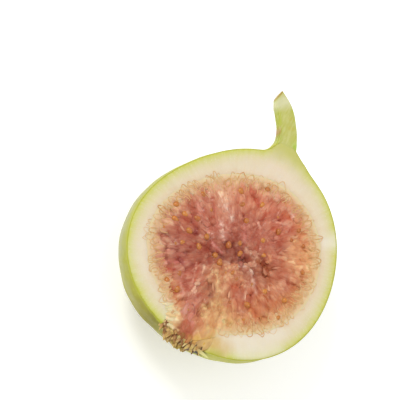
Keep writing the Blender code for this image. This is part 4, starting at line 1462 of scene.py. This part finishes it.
    def loop_paths(self) -> tuple[np.ndarray, dict[str, np.ndarray]]:
        """Lay out the thin tan loops where the florets' stalks leave the rind.

        Returns:
            Points with axes of strand, step and x, y, z, and their attributes.
        """
        rng = np.random.default_rng(41)
        n, k = self.rim_loops, 15
        angle = np.arange(n) * FULL_TURN / n + rng.normal(0, 0.02, n)
        reach = self.form.pulp_reach(angle) * rng.uniform(0.88, 1.015, n)
        turn = np.linspace(-0.18, 1.18, k)[None, :] * math.pi
        half = rng.uniform(0.40, 1.1, (n, 1)) * MM
        deep = rng.uniform(0.8, 2.2, (n, 1)) * MM
        out = angle + rng.normal(0, 0.3, n)
        out = rays(out)
        side = np.stack([-out[:, 1], out[:, 0]], axis=-1)
        centre = rays(angle) * (reach[:, None] - 1.3 * MM)
        flat = (centre[:, None] + side[:, None] * (half * np.cos(turn))[..., None]
                + out[:, None] * (deep * np.sin(turn))[..., None])
        points = np.pad(flat, ((0, 0), (0, 0), (0, 1)))
        points[..., :2] += 0.16 * MM * Ripples(44, 1.6 * MM).at(points)[..., None]
        x, y = points[..., 0], points[..., 1]
        bed = self.surface.read(self.surface.height, x, y) - (self.form.share(x, y) > 0.97) * MM
        points[..., 2] = np.maximum(bed, self.form.cut_height(x, y)) + rng.normal(0, 0.02, (n, 1)) * MM
        thickness = rng.uniform(0.06, 0.11, (n, 1)) * MM * Profile.THREAD.thickness(np.linspace(0.1, 0.9, k))[None, :]
        tan, cream = linear_array([(206, 152, 92), (224, 188, 136)])
        blend = rng.uniform(0, 1, (n, 1, 1)) * np.ones((1, k, 1))
        apart = np.abs(np.angle(np.exp(1j * (angle - self.form.eye_direction))))
        keep = apart > 1.3 * self.form.eye_spread
        return points[keep], {"thickness": thickness[keep], "tone": (tan * blend + cream * (1 - blend))[keep],
                              "calm": np.ones_like(thickness)[keep]}

    def drupelet_points(self) -> tuple[np.ndarray, dict[str, np.ndarray]]:
        """Lay out the plump drupelets: first round the marked seeds, then on a spiral between them.

        Returns:
            Points as rows, and their attributes.
        """
        rng = np.random.default_rng(52)
        spiral = self.form.spiral(self.drupelets, 1.1, 0.93)
        flat = np.concatenate([np.array(self.seed_spots) * MM, spiral + rng.normal(0, 0.5 * MM, spiral.shape)])
        n = len(flat)
        seeded = np.arange(n) < len(self.seed_spots)
        heading = np.arctan2(flat[:, 1], flat[:, 0]) + math.pi + rng.normal(0, 0.45, n)
        long = np.where(seeded, rng.uniform(1.1, 1.4, n), rng.uniform(0.7, 1.35, n)) * MM
        wide = long * rng.uniform(0.58, 0.8, n)
        high = rng.uniform(0.40, 0.6, n) * MM
        crown = np.where(seeded, -0.1, rng.normal(0.02, 0.10, n)) * MM
        marked = self.marked(flat[:, 0], flat[:, 1])
        crown = crown + 0.6 * np.minimum(self.surface.read(self.surface.rise, flat[:, 0], flat[:, 1]), 0)
        high = high * (1 - 0.4 * marked * ~seeded)
        paleness = rng.uniform(0.0, 0.55, n) * (1 - 0.8 * marked)
        paleness = paleness * (1 - 0.8 * self.form.towards_eye(heading - math.pi))
        tone = paled(self.tint(flat[:, 0], flat[:, 1]), paleness)
        tilt = np.stack([rng.normal(0, 0.12, n), rng.normal(0.04, 0.12, n), heading], axis=-1)
        points = np.concatenate([flat, (self.form.cut + crown - high)[:, None]], axis=1)
        return points, {"turn": tilt, "size": np.stack([long, wide, high], axis=-1), "tone": tone,
                        "calm": self.form.calm(flat[:, 0], flat[:, 1])}

    def seed_points(self) -> tuple[np.ndarray, dict[str, np.ndarray]]:
        """Lay out the amber seeds, the marked ones on top and small ones between the florets.

        Returns:
            Points as rows, and their attributes.
        """
        rng = np.random.default_rng(61)
        flat = np.concatenate([np.array(self.seed_spots) * MM, self.form.spiral(self.small_seeds, 2.3, 0.8)])
        n = len(flat)
        marked = np.arange(n) < len(self.seed_spots)
        long = np.where(marked, rng.uniform(0.70, 0.95, n), rng.uniform(0.45, 0.62, n)) * MM
        wide = long * rng.uniform(0.74, 0.9, n)
        z = self.form.cut + np.where(marked, -0.20, -0.26) * MM + rng.normal(0, 0.06, n) * MM
        spin = np.stack([rng.normal(0, 0.2, n), rng.normal(0, 0.2, n), rng.uniform(0, FULL_TURN, n)], axis=-1)
        points = np.concatenate([flat, z[:, None]], axis=1)
        return points, {"turn": spin, "size": np.stack([long, wide, wide * 0.85], axis=-1)}

    def build_flaps(self, material: bpy.types.Material) -> bpy.types.Object:
        """Make the small thin petals between the florets, on a spiral."""
        rng = np.random.default_rng(71)
        buffer = MeshBuffer()
        spots = []
        for i in range(self.flaps):
            turn = i * GOLDEN_ANGLE + 0.4
            reach = float(self.form.pulp_reach(np.array(turn))) * (0.25 + 0.5 * math.sqrt((i + 0.5) / self.flaps))
            spots.append((turn, reach, turn + math.pi + rng.normal(0, 0.5), rng.uniform(1.4, 2.6) * MM,
                          rng.uniform(0.5, 0.9) * MM))
        for turn, reach, aim, length, width in spots:
            points, faces, along = blade(length, width, 0.3 * MM, -0.1 * MM, rng.uniform(-0.1, 0.1) * MM)
            root = (reach * math.cos(turn), reach * math.sin(turn), self.form.cut - 0.02 * MM)
            heading = (math.cos(aim), math.sin(aim), rng.uniform(-0.02, 0.04))
            points = place(points, root, heading, rng.normal(0, 0.15))
            amount = self.flap_paleness * np.sin(math.pi * np.clip(along * 0.8 + 0.1, 0, 1))
            buffer.add(points, faces, tone=paled(self.tint(points[:, 0], points[:, 1]), amount),
                       calm=self.form.calm(points[:, 0], points[:, 1]))
        return buffer.build("floret_flaps", material)

    def build(self) -> list[bpy.types.Object]:
        """Make every piece of the pulp.

        Returns:
            The finished pieces.
        """
        sweep, scatter = strand_tree(), scatter_tree()
        floret = PulpFinish(self.effects, "floret_flesh").build()
        strand = PulpFinish(self.effects, "strand_flesh", pattern=0.4, flank_shade=0.0, glow=0.0).build()
        bed = PulpFinish(self.effects, "bed_flesh", roughness=0.36, flank_shade=0.3).build()
        surface = self.surface
        points, masks = EyeScales.lobe_paths(self.form)
        left = points[:, :, 0].mean(axis=1) < -0.5 * MM
        for part, bare in ((left, 0.14 * MM), (~left, -0.02 * MM)):
            surface.press(points[part].reshape(-1, 3), masks["thickness"][part].ravel(),
                          masks["tone"][part].reshape(-1, 3), bare)
        pieces = []
        for family in self.families:
            points, masks = self.path(family)
            surface.press(points.reshape(-1, 3), masks["thickness"].ravel(), masks["tone"].reshape(-1, 3), family.bare)
            finish = strand if family.name == "pale_strands" else floret
            pieces.append(run_tree(start_object(family.name, points, masks), sweep, Sides=8, Material=finish))
        shape = unit_drop("drop_shape")
        points, masks = self.drupelet_points()
        wide, high = masks["size"][:, 1], masks["size"][:, 2]
        surface.press(points - np.stack([0 * wide, 0 * wide, wide - high], axis=-1), wide, masks["tone"], 0.0)
        loops, loop_masks = self.loop_paths()
        pieces.append(run_tree(start_object("rim_loops", loops, loop_masks), sweep, Sides=6, Material=strand))
        pieces.append(run_tree(start_object("drupelets", points, masks), scatter, Shape=shape, Seed=5,
                               Material=floret))
        pieces.append(run_tree(start_object("seeds", *self.seed_points()), scatter, Shape=shape, Seed=9,
                               Material=SeedFinish(self.effects).build()))
        bpy.data.objects.remove(shape)
        pieces.append(self.build_flaps(strand))
        pieces.append(PulpBed(self.form).build(surface, bed))
        return pieces


def unit_drop(name: str) -> bpy.types.Object:
    """Make a drop of unit half length along X with one slimmer end, as the shape for a scatter."""
    polar = np.linspace(0, math.pi, 8)[1:-1, None]
    turn = np.arange(8) * FULL_TURN / 8
    x = -np.cos(polar)
    wide = np.sin(polar) * (1 + 0.25 * x)
    rings = np.stack([x + 0 * turn, wide * np.cos(turn), wide * np.sin(turn)], axis=-1)
    buffer = MeshBuffer()
    buffer.add(*closed_rings(rings, flip=True, tips=[[-1, 0, 0], [1, 0, 0]]))
    return buffer.build(name)


@dataclass
class Stem:
    """The bent half stem: green skin round a pale cut face, with a slanted end and a small brown scar."""

    form: FruitForm
    effects: SharedEffects
    curve: tuple = ((0.1, 28.3), (-0.6, 35.2), (-7.4, 40.2))
    stations: tuple = ((-0.09, 3.9), (0.0, 3.45), (0.06, 3.15), (0.13, 2.9), (0.22, 2.65), (0.46, 2.4), (0.64, 2.4),
                       (0.82, 2.2), (0.92, 1.85), (1.0, 1.5))
    slant: float = math.radians(24)
    steps: int = 80
    sides: int = 30
    face: int = 15

    def centre(self, t: float) -> tuple[np.ndarray, np.ndarray]:
        """Return a point of the stem's curve and its heading."""
        start, bend, end = (np.array(p) * MM for p in self.curve)
        spot = start * (1 - t) ** 2 + bend * 2 * t * (1 - t) + end * t ** 2
        heading = (bend - start) * (1 - t) + (end - bend) * t
        return spot, heading / np.linalg.norm(heading)

    def section(self, t: float, radius: float) -> tuple[np.ndarray, np.ndarray]:
        """Return one ring of the stem and how far in from the skin each point is on the cut face.

        Args:
            t: Share of the way along.
            radius: Radius there.

        Returns:
            Points, and distances from the skin as a share of the half width.
        """
        spot, heading = self.centre(t)
        side = np.array([heading[1], -heading[0]])
        lean = math.tan(self.slant) * max(0.0, (t - 0.82) / 0.18) ** 2
        turn = np.linspace(math.radians(30), math.radians(-210), self.sides)
        bark = 1 + 0.02 * np.cos(5 * turn + 1.3) + 0.012 * np.cos(9 * turn + 4 * t)
        across = radius * np.cos(turn) * bark
        down = radius * (np.sin(turn) * bark - 0.5)
        inner = np.linspace(-1, 1, self.face + 2)[1:-1]
        flat = (inner + 1) / 2 * (across[0] - across[-1]) + across[-1]
        across = np.concatenate([across, flat])
        height = np.concatenate([down, 0.1 * MM * (1 - inner ** 2)])
        xy = spot + side * across[:, None] + heading * (across * lean)[:, None]
        rooted = 0.5 * MM * max(0.0, 1 - t / 0.16) ** 1.5
        points = np.concatenate([xy, (self.form.cut + np.minimum(height, 0.12 * MM) - rooted)[:, None]], axis=1)
        return points, np.concatenate([np.zeros(self.sides), 1 - np.abs(inner)])

    def build(self) -> bpy.types.Object:
        """Make the stem.

        Returns:
            The finished piece.
        """
        knots = np.array(self.stations)
        shares = np.linspace(knots[0, 0], 1, self.steps)
        radii = np.interp(shares, knots[:, 0], knots[:, 1]) * MM
        sections = [self.section(float(t), float(radius)) for t, radius in zip(shares, radii)]
        rings = np.array([ring for ring, _ in sections])
        inside = np.array([mask for _, mask in sections])
        away = rings - rings.mean(axis=1, keepdims=True)
        away /= np.maximum(np.linalg.norm(away, axis=-1, keepdims=True), 1e-9)
        away[..., 2] *= rings[..., 2] < self.form.cut - 0.3 * MM
        rings = rings + away * (0.06 * MM * Ripples(81, 4 * MM).at(rings))[..., None]
        points, faces = closed_rings(rings, flip=True)
        face = np.concatenate([inside.ravel(), [0.0, 0.0]])
        along = np.concatenate([np.repeat(shares, rings.shape[1]), [0.0, 1.0]])
        buffer = MeshBuffer()
        buffer.add(points, faces, tone=self.tones(points, face, along))
        finish = ToneFinish(self.effects, "stem_green", (214, 212, 160), (172, 172, 64), 0.45, 0.2, 0.3)
        return buffer.build("stem_piece", finish.build())

    def tones(self, points: np.ndarray, face: np.ndarray, along: np.ndarray) -> np.ndarray:
        """Return the stem's colours.

        Args:
            points: Its points.
            face: Distance in from the skin on the cut face, 0 at the skin and 1 in the middle.
            along: Share of the way along.

        Returns:
            Rows of linear colour.
        """
        green, lime, olive, pale, white, straw, leaf, brown, gold = linear_array(
            [(172, 180, 54), (156, 190, 26), (150, 162, 38), (184, 183, 94), (214, 212, 178), (184, 174, 66),
             (192, 189, 112), (166, 100, 46), (160, 118, 20)])
        x, y = points[:, 0] / MM, points[:, 1] / MM
        wander = np.clip(Ripples(82, 3 * MM).at(points)[:, None], 0, 1)
        t = along[:, None]

        def blend(colour: np.ndarray, other: np.ndarray, amount: np.ndarray) -> np.ndarray:
            """Return a mix of two rows of colour."""
            return colour * (1 - amount) + other * amount

        colour = blend(green, blend(pale, straw, 0.6 * wander), np.clip(face * 2.0, 0, 1)[:, None] ** 0.8)
        base = np.clip(1 - t / 0.3, 0, 1) ** 0.8 * np.clip(face * 3, 0, 1)[:, None]
        colour = blend(colour, leaf, base)
        colour = blend(colour, lime, 0.95 * np.exp(-((x - 2.3) ** 2 + (y - 30.8) ** 2) / 1.4 ** 2)[:, None])
        colour = blend(colour, olive, 0.8 * np.exp(-((x + 3.3) ** 2 + (y - 31.0) ** 2) / 1.3 ** 2)[:, None])
        tip = np.clip((t - 0.72) / 0.14, 0, 1) * np.clip((1.0 - t) / 0.08, 0, 1)
        colour = blend(colour, white, 0.75 * tip)
        colour = blend(colour, gold, 0.85 * np.clip((t - 0.975) / 0.02, 0, 1))
        scar = np.exp(-((x + 3.6) / 0.6) ** 2 - ((y - 31.9) / 1.1) ** 2) * np.clip(1 - face * 4, 0, 1)
        return blend(colour, brown, scar[:, None])


class EyeFloret(Enum):
    """Soft florets in the mouth of the eye: root, bend and tip, radius (all in millimetres) and screen colour."""

    CUP = ((-11.6, -19.2), (-9.6, -22.4), (-7.6, -17.8), 0.34, (230, 204, 162))
    CUP_INNER = ((-11.0, -18.4), (-9.4, -20.8), (-8.2, -17.4), 0.30, (222, 184, 146))
    PETAL_A = ((-10.8, -20.8), (-8.6, -20.9), (-6.2, -19.4), 0.55, (228, 200, 152))
    PETAL_B = ((-10.5, -21.6), (-8.2, -21.1), (-5.6, -20.5), 0.60, (230, 204, 158))
    PETAL_C = ((-10.2, -22.4), (-7.8, -22.5), (-5.4, -21.4), 0.55, (224, 190, 138))
    PETAL_D = ((-9.9, -23.2), (-7.6, -22.9), (-5.0, -22.5), 0.60, (232, 208, 164))
    PETAL_E = ((-9.3, -23.9), (-7.2, -24.1), (-5.0, -23.3), 0.48, (220, 184, 130))
    PETAL_F = ((-8.6, -24.6), (-6.6, -24.4), (-4.4, -24.3), 0.50, (228, 202, 154))
    PETAL_G = ((-7.6, -25.2), (-6.2, -25.2), (-4.4, -25.2), 0.42, (206, 170, 104))
    ROSE_A = ((-4.9, -17.0), (-5.4, -19.2), (-4.2, -21.2), 0.80, (208, 148, 128))
    ROSE_B = ((-3.2, -18.0), (-3.6, -20.2), (-2.8, -22.0), 0.62, (204, 134, 112))
    ROSE_C = ((-4.4, -21.6), (-3.4, -22.8), (-3.2, -24.0), 0.50, (190, 118, 88))
    ROSE_D = ((-2.0, -19.6), (-2.4, -21.2), (-1.6, -22.6), 0.45, (206, 130, 112))
    ROUND_A = ((-0.8, -18.6), (0.0, -20.2), (0.2, -21.6), 0.80, (208, 148, 106))
    ROUND_B = ((1.3, -19.4), (1.7, -21.2), (1.0, -23.0), 0.80, (208, 156, 102))
    ROUND_C = ((3.0, -19.2), (3.4, -21.2), (2.8, -22.8), 0.70, (206, 158, 94))
    GOLD_A = ((2.6, -22.6), (2.9, -24.0), (2.0, -25.0), 0.90, (206, 166, 82))
    GOLD_B = ((4.4, -21.8), (4.6, -23.4), (3.8, -24.4), 0.90, (212, 178, 96))
    GOLD_C = ((0.4, -23.2), (0.8, -24.4), (0.2, -25.2), 0.75, (198, 146, 78))
    GOLD_D = ((5.8, -21.0), (5.9, -22.2), (5.2, -23.0), 0.70, (218, 188, 128))
    BROWN_A = ((-1.4, -24.0), (-0.9, -25.0), (-1.4, -25.9), 0.50, (176, 118, 68))
    BROWN_B = ((-3.2, -24.2), (-2.6, -25.0), (-2.9, -25.8), 0.45, (150, 96, 52))
    BROWN_C = ((-5.2, -24.2), (-4.6, -25.0), (-4.8, -25.7), 0.45, (156, 104, 56))


@dataclass
class EyeScales:
    """The eye of the fig: soft lobes in its mouth, cream petals laid inwards and dry scales round it.

    Places are in millimetres on the cut face; shades are screen colours.
    """

    form: FruitForm
    effects: SharedEffects
    rows: tuple = ((11, 5.2, -24.2, 16, 3.6, 2.6), (9, 4.0, -24.6, 22, 3.4, 2.4), (7, 2.8, -25.0, 24, 3.0, 2.2),
                   (5, 1.5, -25.2, 16, 2.4, 1.8))
    dry_count: int = 44
    dry_line: tuple = ((-8.6, -24.5), (-5.6, -26.0), (1.6, -25.9))
    flap: tuple = ((1.3, -25.9), (1.0, -0.12), 3.9, 0.9)

    def add(self, buffer: MeshBuffer, root: Sequence[float], heading: Sequence[float], length: float, width: float,
            shades: Sequence[Colour], roll: float = 0.0, curl: float = 0.2, thickness: float = 0.3) -> None:
        """Add one bract to the buffer.

        Args:
            buffer: Where it goes.
            root: Its root, in metres.
            heading: The way it points.
            length: Length in millimetres.
            width: Width in millimetres.
            shades: Screen colours at its root, middle and tip.
            roll: Turn about its length in radians.
            curl: Rise of its tip in millimetres.
            thickness: Thickness in millimetres.
        """
        points, faces, along = blade(length * MM, width * MM, thickness * MM, 0.15 * width * MM, curl * MM, 0.5)
        low, middle, high = linear_array(shades)
        t = along[:, None]
        tone = np.where(t < 0.5, low + (middle - low) * t * 2, middle + (high - middle) * (t * 2 - 1))
        buffer.add(place(points, root, heading, roll), faces, tone=tone)

    def build_bracts(self) -> bpy.types.Object:
        """Make the rows of bracts under the cut face, the dry scales on it and the one flap."""
        rng = np.random.default_rng(91)
        buffer = MeshBuffer()
        ex, cut = self.form.eye[0] / MM, self.form.cut / MM
        straw, tan, olive, brown, dark = (208, 180, 104), (176, 122, 60), (162, 148, 58), (120, 70, 30), (52, 36, 22)
        cream, lime = (224, 200, 152), (214, 214, 140)
        for count, radius, level, lean, length, width in self.rows:
            for i in range(count):
                turn = math.pi + math.pi * (i + 0.5) / count + rng.normal(0, 0.05)
                out = np.array([math.cos(turn), 0, math.sin(turn)])
                angle = math.radians(lean + rng.normal(0, 5))
                heading = np.array([rng.normal(0, 0.12), -math.cos(angle), 0]) - out * math.sin(angle)
                root = ((ex + radius * out[0]) * MM, level * MM, (cut - 0.8 + 0.62 * radius * out[2]) * MM)
                shades = (olive, tan, straw) if rng.uniform() < 0.6 else (brown, tan, olive)
                # Painted shadow: bracts on the right of the eye are shorter and near black, standing in for the dark
                # shade there.
                short = 0.78 if out[0] > 0.45 else 1.0
                if out[0] > 0.45:
                    shades = (dark, dark, brown)
                self.add(buffer, root, heading, length * short * rng.uniform(0.85, 1.1), width, shades,
                         math.pi - math.atan2(out[0], -out[2]))
        start, bend, end = (np.array(p) for p in self.dry_line)
        for i in range(self.dry_count):
            t = ((i * 0.618) % 1.0)
            spot = bend_through(start, bend, end, [t])[0] + rng.uniform(-0.1, 1.5) * np.array([0.2, 1.0])
            shades = ((brown, tan, straw), (olive, tan, straw), (brown, brown, tan), (olive, straw, cream))
            if t > 0.66:
                shades = ((tan, straw, straw), (straw, straw, cream)) * 2
            self.add(buffer, (spot[0] * MM, spot[1] * MM, (cut - 0.25 + rng.normal(0, 0.15)) * MM),
                     (rng.normal(-0.1, 0.65), -1.0, rng.uniform(-0.35, 0.1)), rng.uniform(1.2, 2.4),
                     rng.uniform(0.5, 1.1), shades[int(rng.integers(0, 4))], rng.normal(0, 0.5), -0.2)
        (x, y), heading, length, width = self.flap
        self.add(buffer, (x * MM, y * MM, (cut - 0.2) * MM), (*heading, -0.1), length, width, (tan, lime, lime))
        finish = ToneFinish(self.effects, "eye_bracts", (226, 200, 140), (150, 104, 52), 0.5, 0.15, 0.2)
        return buffer.build("eye_bracts", finish.build())

    @staticmethod
    def lobe_paths(form: FruitForm) -> tuple[np.ndarray, dict[str, np.ndarray]]:
        """Lay out the soft florets of the eye, each along its own curve.

        Args:
            form: The half fruit.

        Returns:
            Points with axes of floret, step and x, y, z, and their attributes.
        """
        t = np.linspace(0, 1, 15)[:, None]
        lean = t[:, 0]
        sway = Ripples(93, 1.5 * MM)
        points, thickness, tone = [], [], []
        for floret in EyeFloret:
            start, bend, end, radius, shade = floret.value
            flat = bend_through(start, bend, end, lean) * MM
            flat = flat + 0.3 * MM * sway.at(np.pad(flat, ((0, 0), (0, 1))))[:, None] * [0.3, 1.0]
            crown = form.cut + 0.14 * MM * np.sin(math.pi * lean) - 0.2 * MM * lean ** 4
            crown = crown - 0.22 * MM * floret.name.startswith("GOLD")
            points.append(np.concatenate([flat, (crown - radius * MM)[:, None]], axis=1))
            thickness.append(radius * MM * Profile.TONGUE.thickness(lean))
            fade = (0.82 + 0.22 * np.sin(math.pi * t)) ** np.array([0.6, 1.0, 1.4])
            tone.append(np.array(linear(shade)[:3]) * fade)
        tone = np.array(tone)
        calm = np.clip((tone[..., 1] - 0.25) / 0.25, 0, 0.85)
        return np.array(points), {"thickness": np.array(thickness), "tone": tone, "calm": calm}

    def build_lobes(self) -> bpy.types.Object:
        """Make the soft florets that fill the mouth of the eye.

        Returns:
            The finished piece.
        """
        finish = PulpFinish(self.effects, "eye_flesh", pattern=0.6).build()
        lines = start_object("eye_lobes", *self.lobe_paths(self.form))
        return run_tree(lines, bpy.data.node_groups["strand_sweep"], Sides=12, Material=finish)

    def build_plug(self) -> bpy.types.Object:
        """Make the flesh in the eye's channel, which shows as shade between the lobes and bracts.

        Returns:
            The finished piece.
        """
        ex = self.form.eye[0]
        levels = ((-19.6, 0.5), (-20.6, 0.85), (-22.0, 0.98), (-23.4, 1.0), (-24.6, 0.95), (-25.6, 0.8), (-26.3, 0.55),
                  (-26.7, 0.2))
        around = 64
        turn = np.arange(around) * FULL_TURN / around
        lumps = Ripples(95, 1.5 * MM)
        rings = []
        for y, share in levels:
            x = ex + share * 6.3 * MM * np.cos(turn)
            drop = np.where(np.sin(turn) < 0, 4.6, 0.15) * MM * np.sin(turn)
            ring = np.stack([x, np.full(around, y * MM), self.form.cut - 0.45 * MM + share * drop], axis=-1)
            ring[:, 2] += 0.15 * MM * lumps.at(ring) - 0.5 * MM * (y < -25)
            beyond = np.clip(ring[:, 0] / MM - 32.07 - 1.3 * y, 0, 1)
            ring[:, 2] += (0.15 * np.clip(ring[:, 0] / MM, 0, 1) + 0.2 * beyond) * MM * (np.sin(turn) > 0)
            rings.append(ring)
        points, faces = closed_rings(np.array(rings))
        buffer = MeshBuffer()
        buffer.add(points, faces, tone=self.plug_tone(points))
        finish = ToneFinish(self.effects, "eye_hollow", (168, 112, 66), (84, 54, 30), 0.5, 0.05, 0.3)
        return buffer.build("eye_plug", finish.build())

    def plug_tone(self, points: np.ndarray) -> np.ndarray:
        """Return the colour of the flesh in the channel by place: rose inside, brown lower down, gold at the right,
        olive at the left, and a painted shadow, near black, at its deep outer end.
        """
        rose, gold, brown, dark, olive = linear_array(
            [(180, 116, 84), (212, 174, 106), (150, 108, 62), (44, 28, 16), (160, 144, 72)])
        x, y = points[:, 0:1] / MM, points[:, 1:2] / MM
        low = np.clip((-y - 22.0) / 2.4, 0, 1)
        colour = rose * (1 - low) + brown * low
        right = np.clip((x - 0.2) / 2.0, 0, 1)
        colour = colour * (1 - right) + gold * right
        left = np.clip((-x - 6.6) / 1.2, 0, 1)
        colour = colour * (1 - left) + olive * left
        # Painted shadow: the deep outer end of the channel turns near black.
        outside = np.clip((-y - 25.3) / 0.5, 0, 1) * np.clip((self.form.cut - points[:, 2:] - 1.2 * MM) / MM, 0, 1)
        return colour * (1 - outside) + dark * outside

    def build(self) -> list[bpy.types.Object]:
        """Make the plug, the lobes and the bracts.

        Returns:
            The finished pieces.
        """
        return [self.build_plug(), self.build_lobes(), self.build_bracts()]


# Stage


@dataclass
class Stage:
    """The pale floor, the soft lights, the pale surroundings and the camera at the photograph's angle."""

    form: FruitForm
    azimuth: float = math.radians(-31.1)
    elevation: float = math.radians(65)
    roll: float = math.radians(60)
    lens: float = 180.0
    distance: float = 470 * MM
    aim: tuple = (-13.5 * MM, 6.1 * MM)
    floor_glow: float = 0.26
    floor_half: float = 1.5

    def camera(self) -> bpy.types.Object:
        """Make the scene's camera.

        Returns:
            The camera.
        """
        back = Vector((math.sin(self.azimuth) * math.cos(self.elevation),
                       -math.cos(self.azimuth) * math.cos(self.elevation), math.sin(self.elevation)))
        level = Vector((0, 0, 1)).cross(back).normalized()
        up = back.cross(level)
        right = level * math.cos(self.roll) + up * math.sin(self.roll)
        top = up * math.cos(self.roll) - level * math.sin(self.roll)
        spot = Vector((*self.aim, self.form.cut)) + back * self.distance
        item = linked("photo_camera", bpy.data.cameras.new("photo_camera"))
        data = item.data
        data.lens = self.lens
        data.sensor_width = 36.0
        data.clip_start, data.clip_end = 0.01, 10.0
        item.matrix_world = Matrix.Translation(spot) @ Matrix((right, top, back)).transposed().to_4x4()
        bpy.context.scene.camera = item
        return item

    def lights(self, camera: bpy.types.Object) -> None:
        """Make the large soft lights, placed by the way the camera sees the fruit.

        Args:
            camera: The scene's camera.
        """
        turn = camera.matrix_world.to_3x3()
        right, top = turn.col[0], turn.col[1]
        for name, way, power, size in (("key", -0.75 * right + 0.75 * top, 2.0, 0.2),
                                       ("fill", 0.9 * right - 0.2 * top, 0.6, 0.5)):
            flat = Vector((way.x, way.y, 0)).normalized()
            spot = flat * 0.45 + Vector((0, 0, 0.6))
            item = linked(name, bpy.data.lights.new(name, "AREA"))
            item.data.energy, item.data.size = power, size
            item.location = spot
            item.rotation_mode = "QUATERNION"
            item.rotation_quaternion = (-spot).to_track_quat("-Z", "Y")

    def floor(self) -> bpy.types.Object:
        """Make the pale floor with its faint grain."""
        graph = FinishGraph("pale_floor")
        grain = graph.noise(graph.position(), 60.0)
        graph.feed(graph.shader, {
            "Base Color": graph.mix(grain, (250, 250, 250), (247, 247, 247)), "Roughness": 0.9,
            "Emission Color": (1.0, 1.0, 1.0, 1.0), "Emission Strength": self.floor_glow, "Specular IOR Level": 0.1})
        buffer = MeshBuffer()
        buffer.add(self.floor_half * np.array([[-1, -1, 0], [1, -1, 0], [1, 1, 0], [-1, 1, 0]]),
                   np.array([[0, 1, 2, 3]]))
        return buffer.build("pale_floor", graph.material)

    def build(self) -> None:
        """Make the stage and set the plain colour view."""
        scene = bpy.context.scene
        scene.view_settings.view_transform = "Standard"
        world = bpy.data.worlds.new("pale_room")
        world.use_nodes = True
        background = world.node_tree.nodes["Background"]
        background.inputs["Color"].default_value = (1.0, 1.0, 1.0, 1.0)
        background.inputs["Strength"].default_value = 0.78
        scene.world = world
        self.lights(self.camera())
        self.floor()


def dress(item: bpy.types.Object, node: str) -> None:
    """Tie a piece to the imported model.

    Args:
        item: The finished piece.
        node: The CAD node that it stands for.
    """
    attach(item, "root")
    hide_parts(node)
    triangles = sum(len(face.vertices) - 2 for face in item.data.polygons)
    LOG.info("%s stands for %s with %d triangles", item.name, node, triangles)


def main() -> None:
    """Build the fig half on its stage."""
    logging.basicConfig(level=logging.INFO, format="%(message)s")
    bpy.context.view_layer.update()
    form = FruitForm(cut=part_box("rind")[1][2])
    effects = SharedEffects()
    dress(Rind(form, effects).build(), "rind")
    for item in Pulp(form, effects).build():
        dress(item, "pulp")
    dress(Stem(form, effects).build(), "stem")
    for item in EyeScales(form, effects).build():
        dress(item, "eye_scales")
    Stage(form).build()


if __name__ == "__main__":
    main()
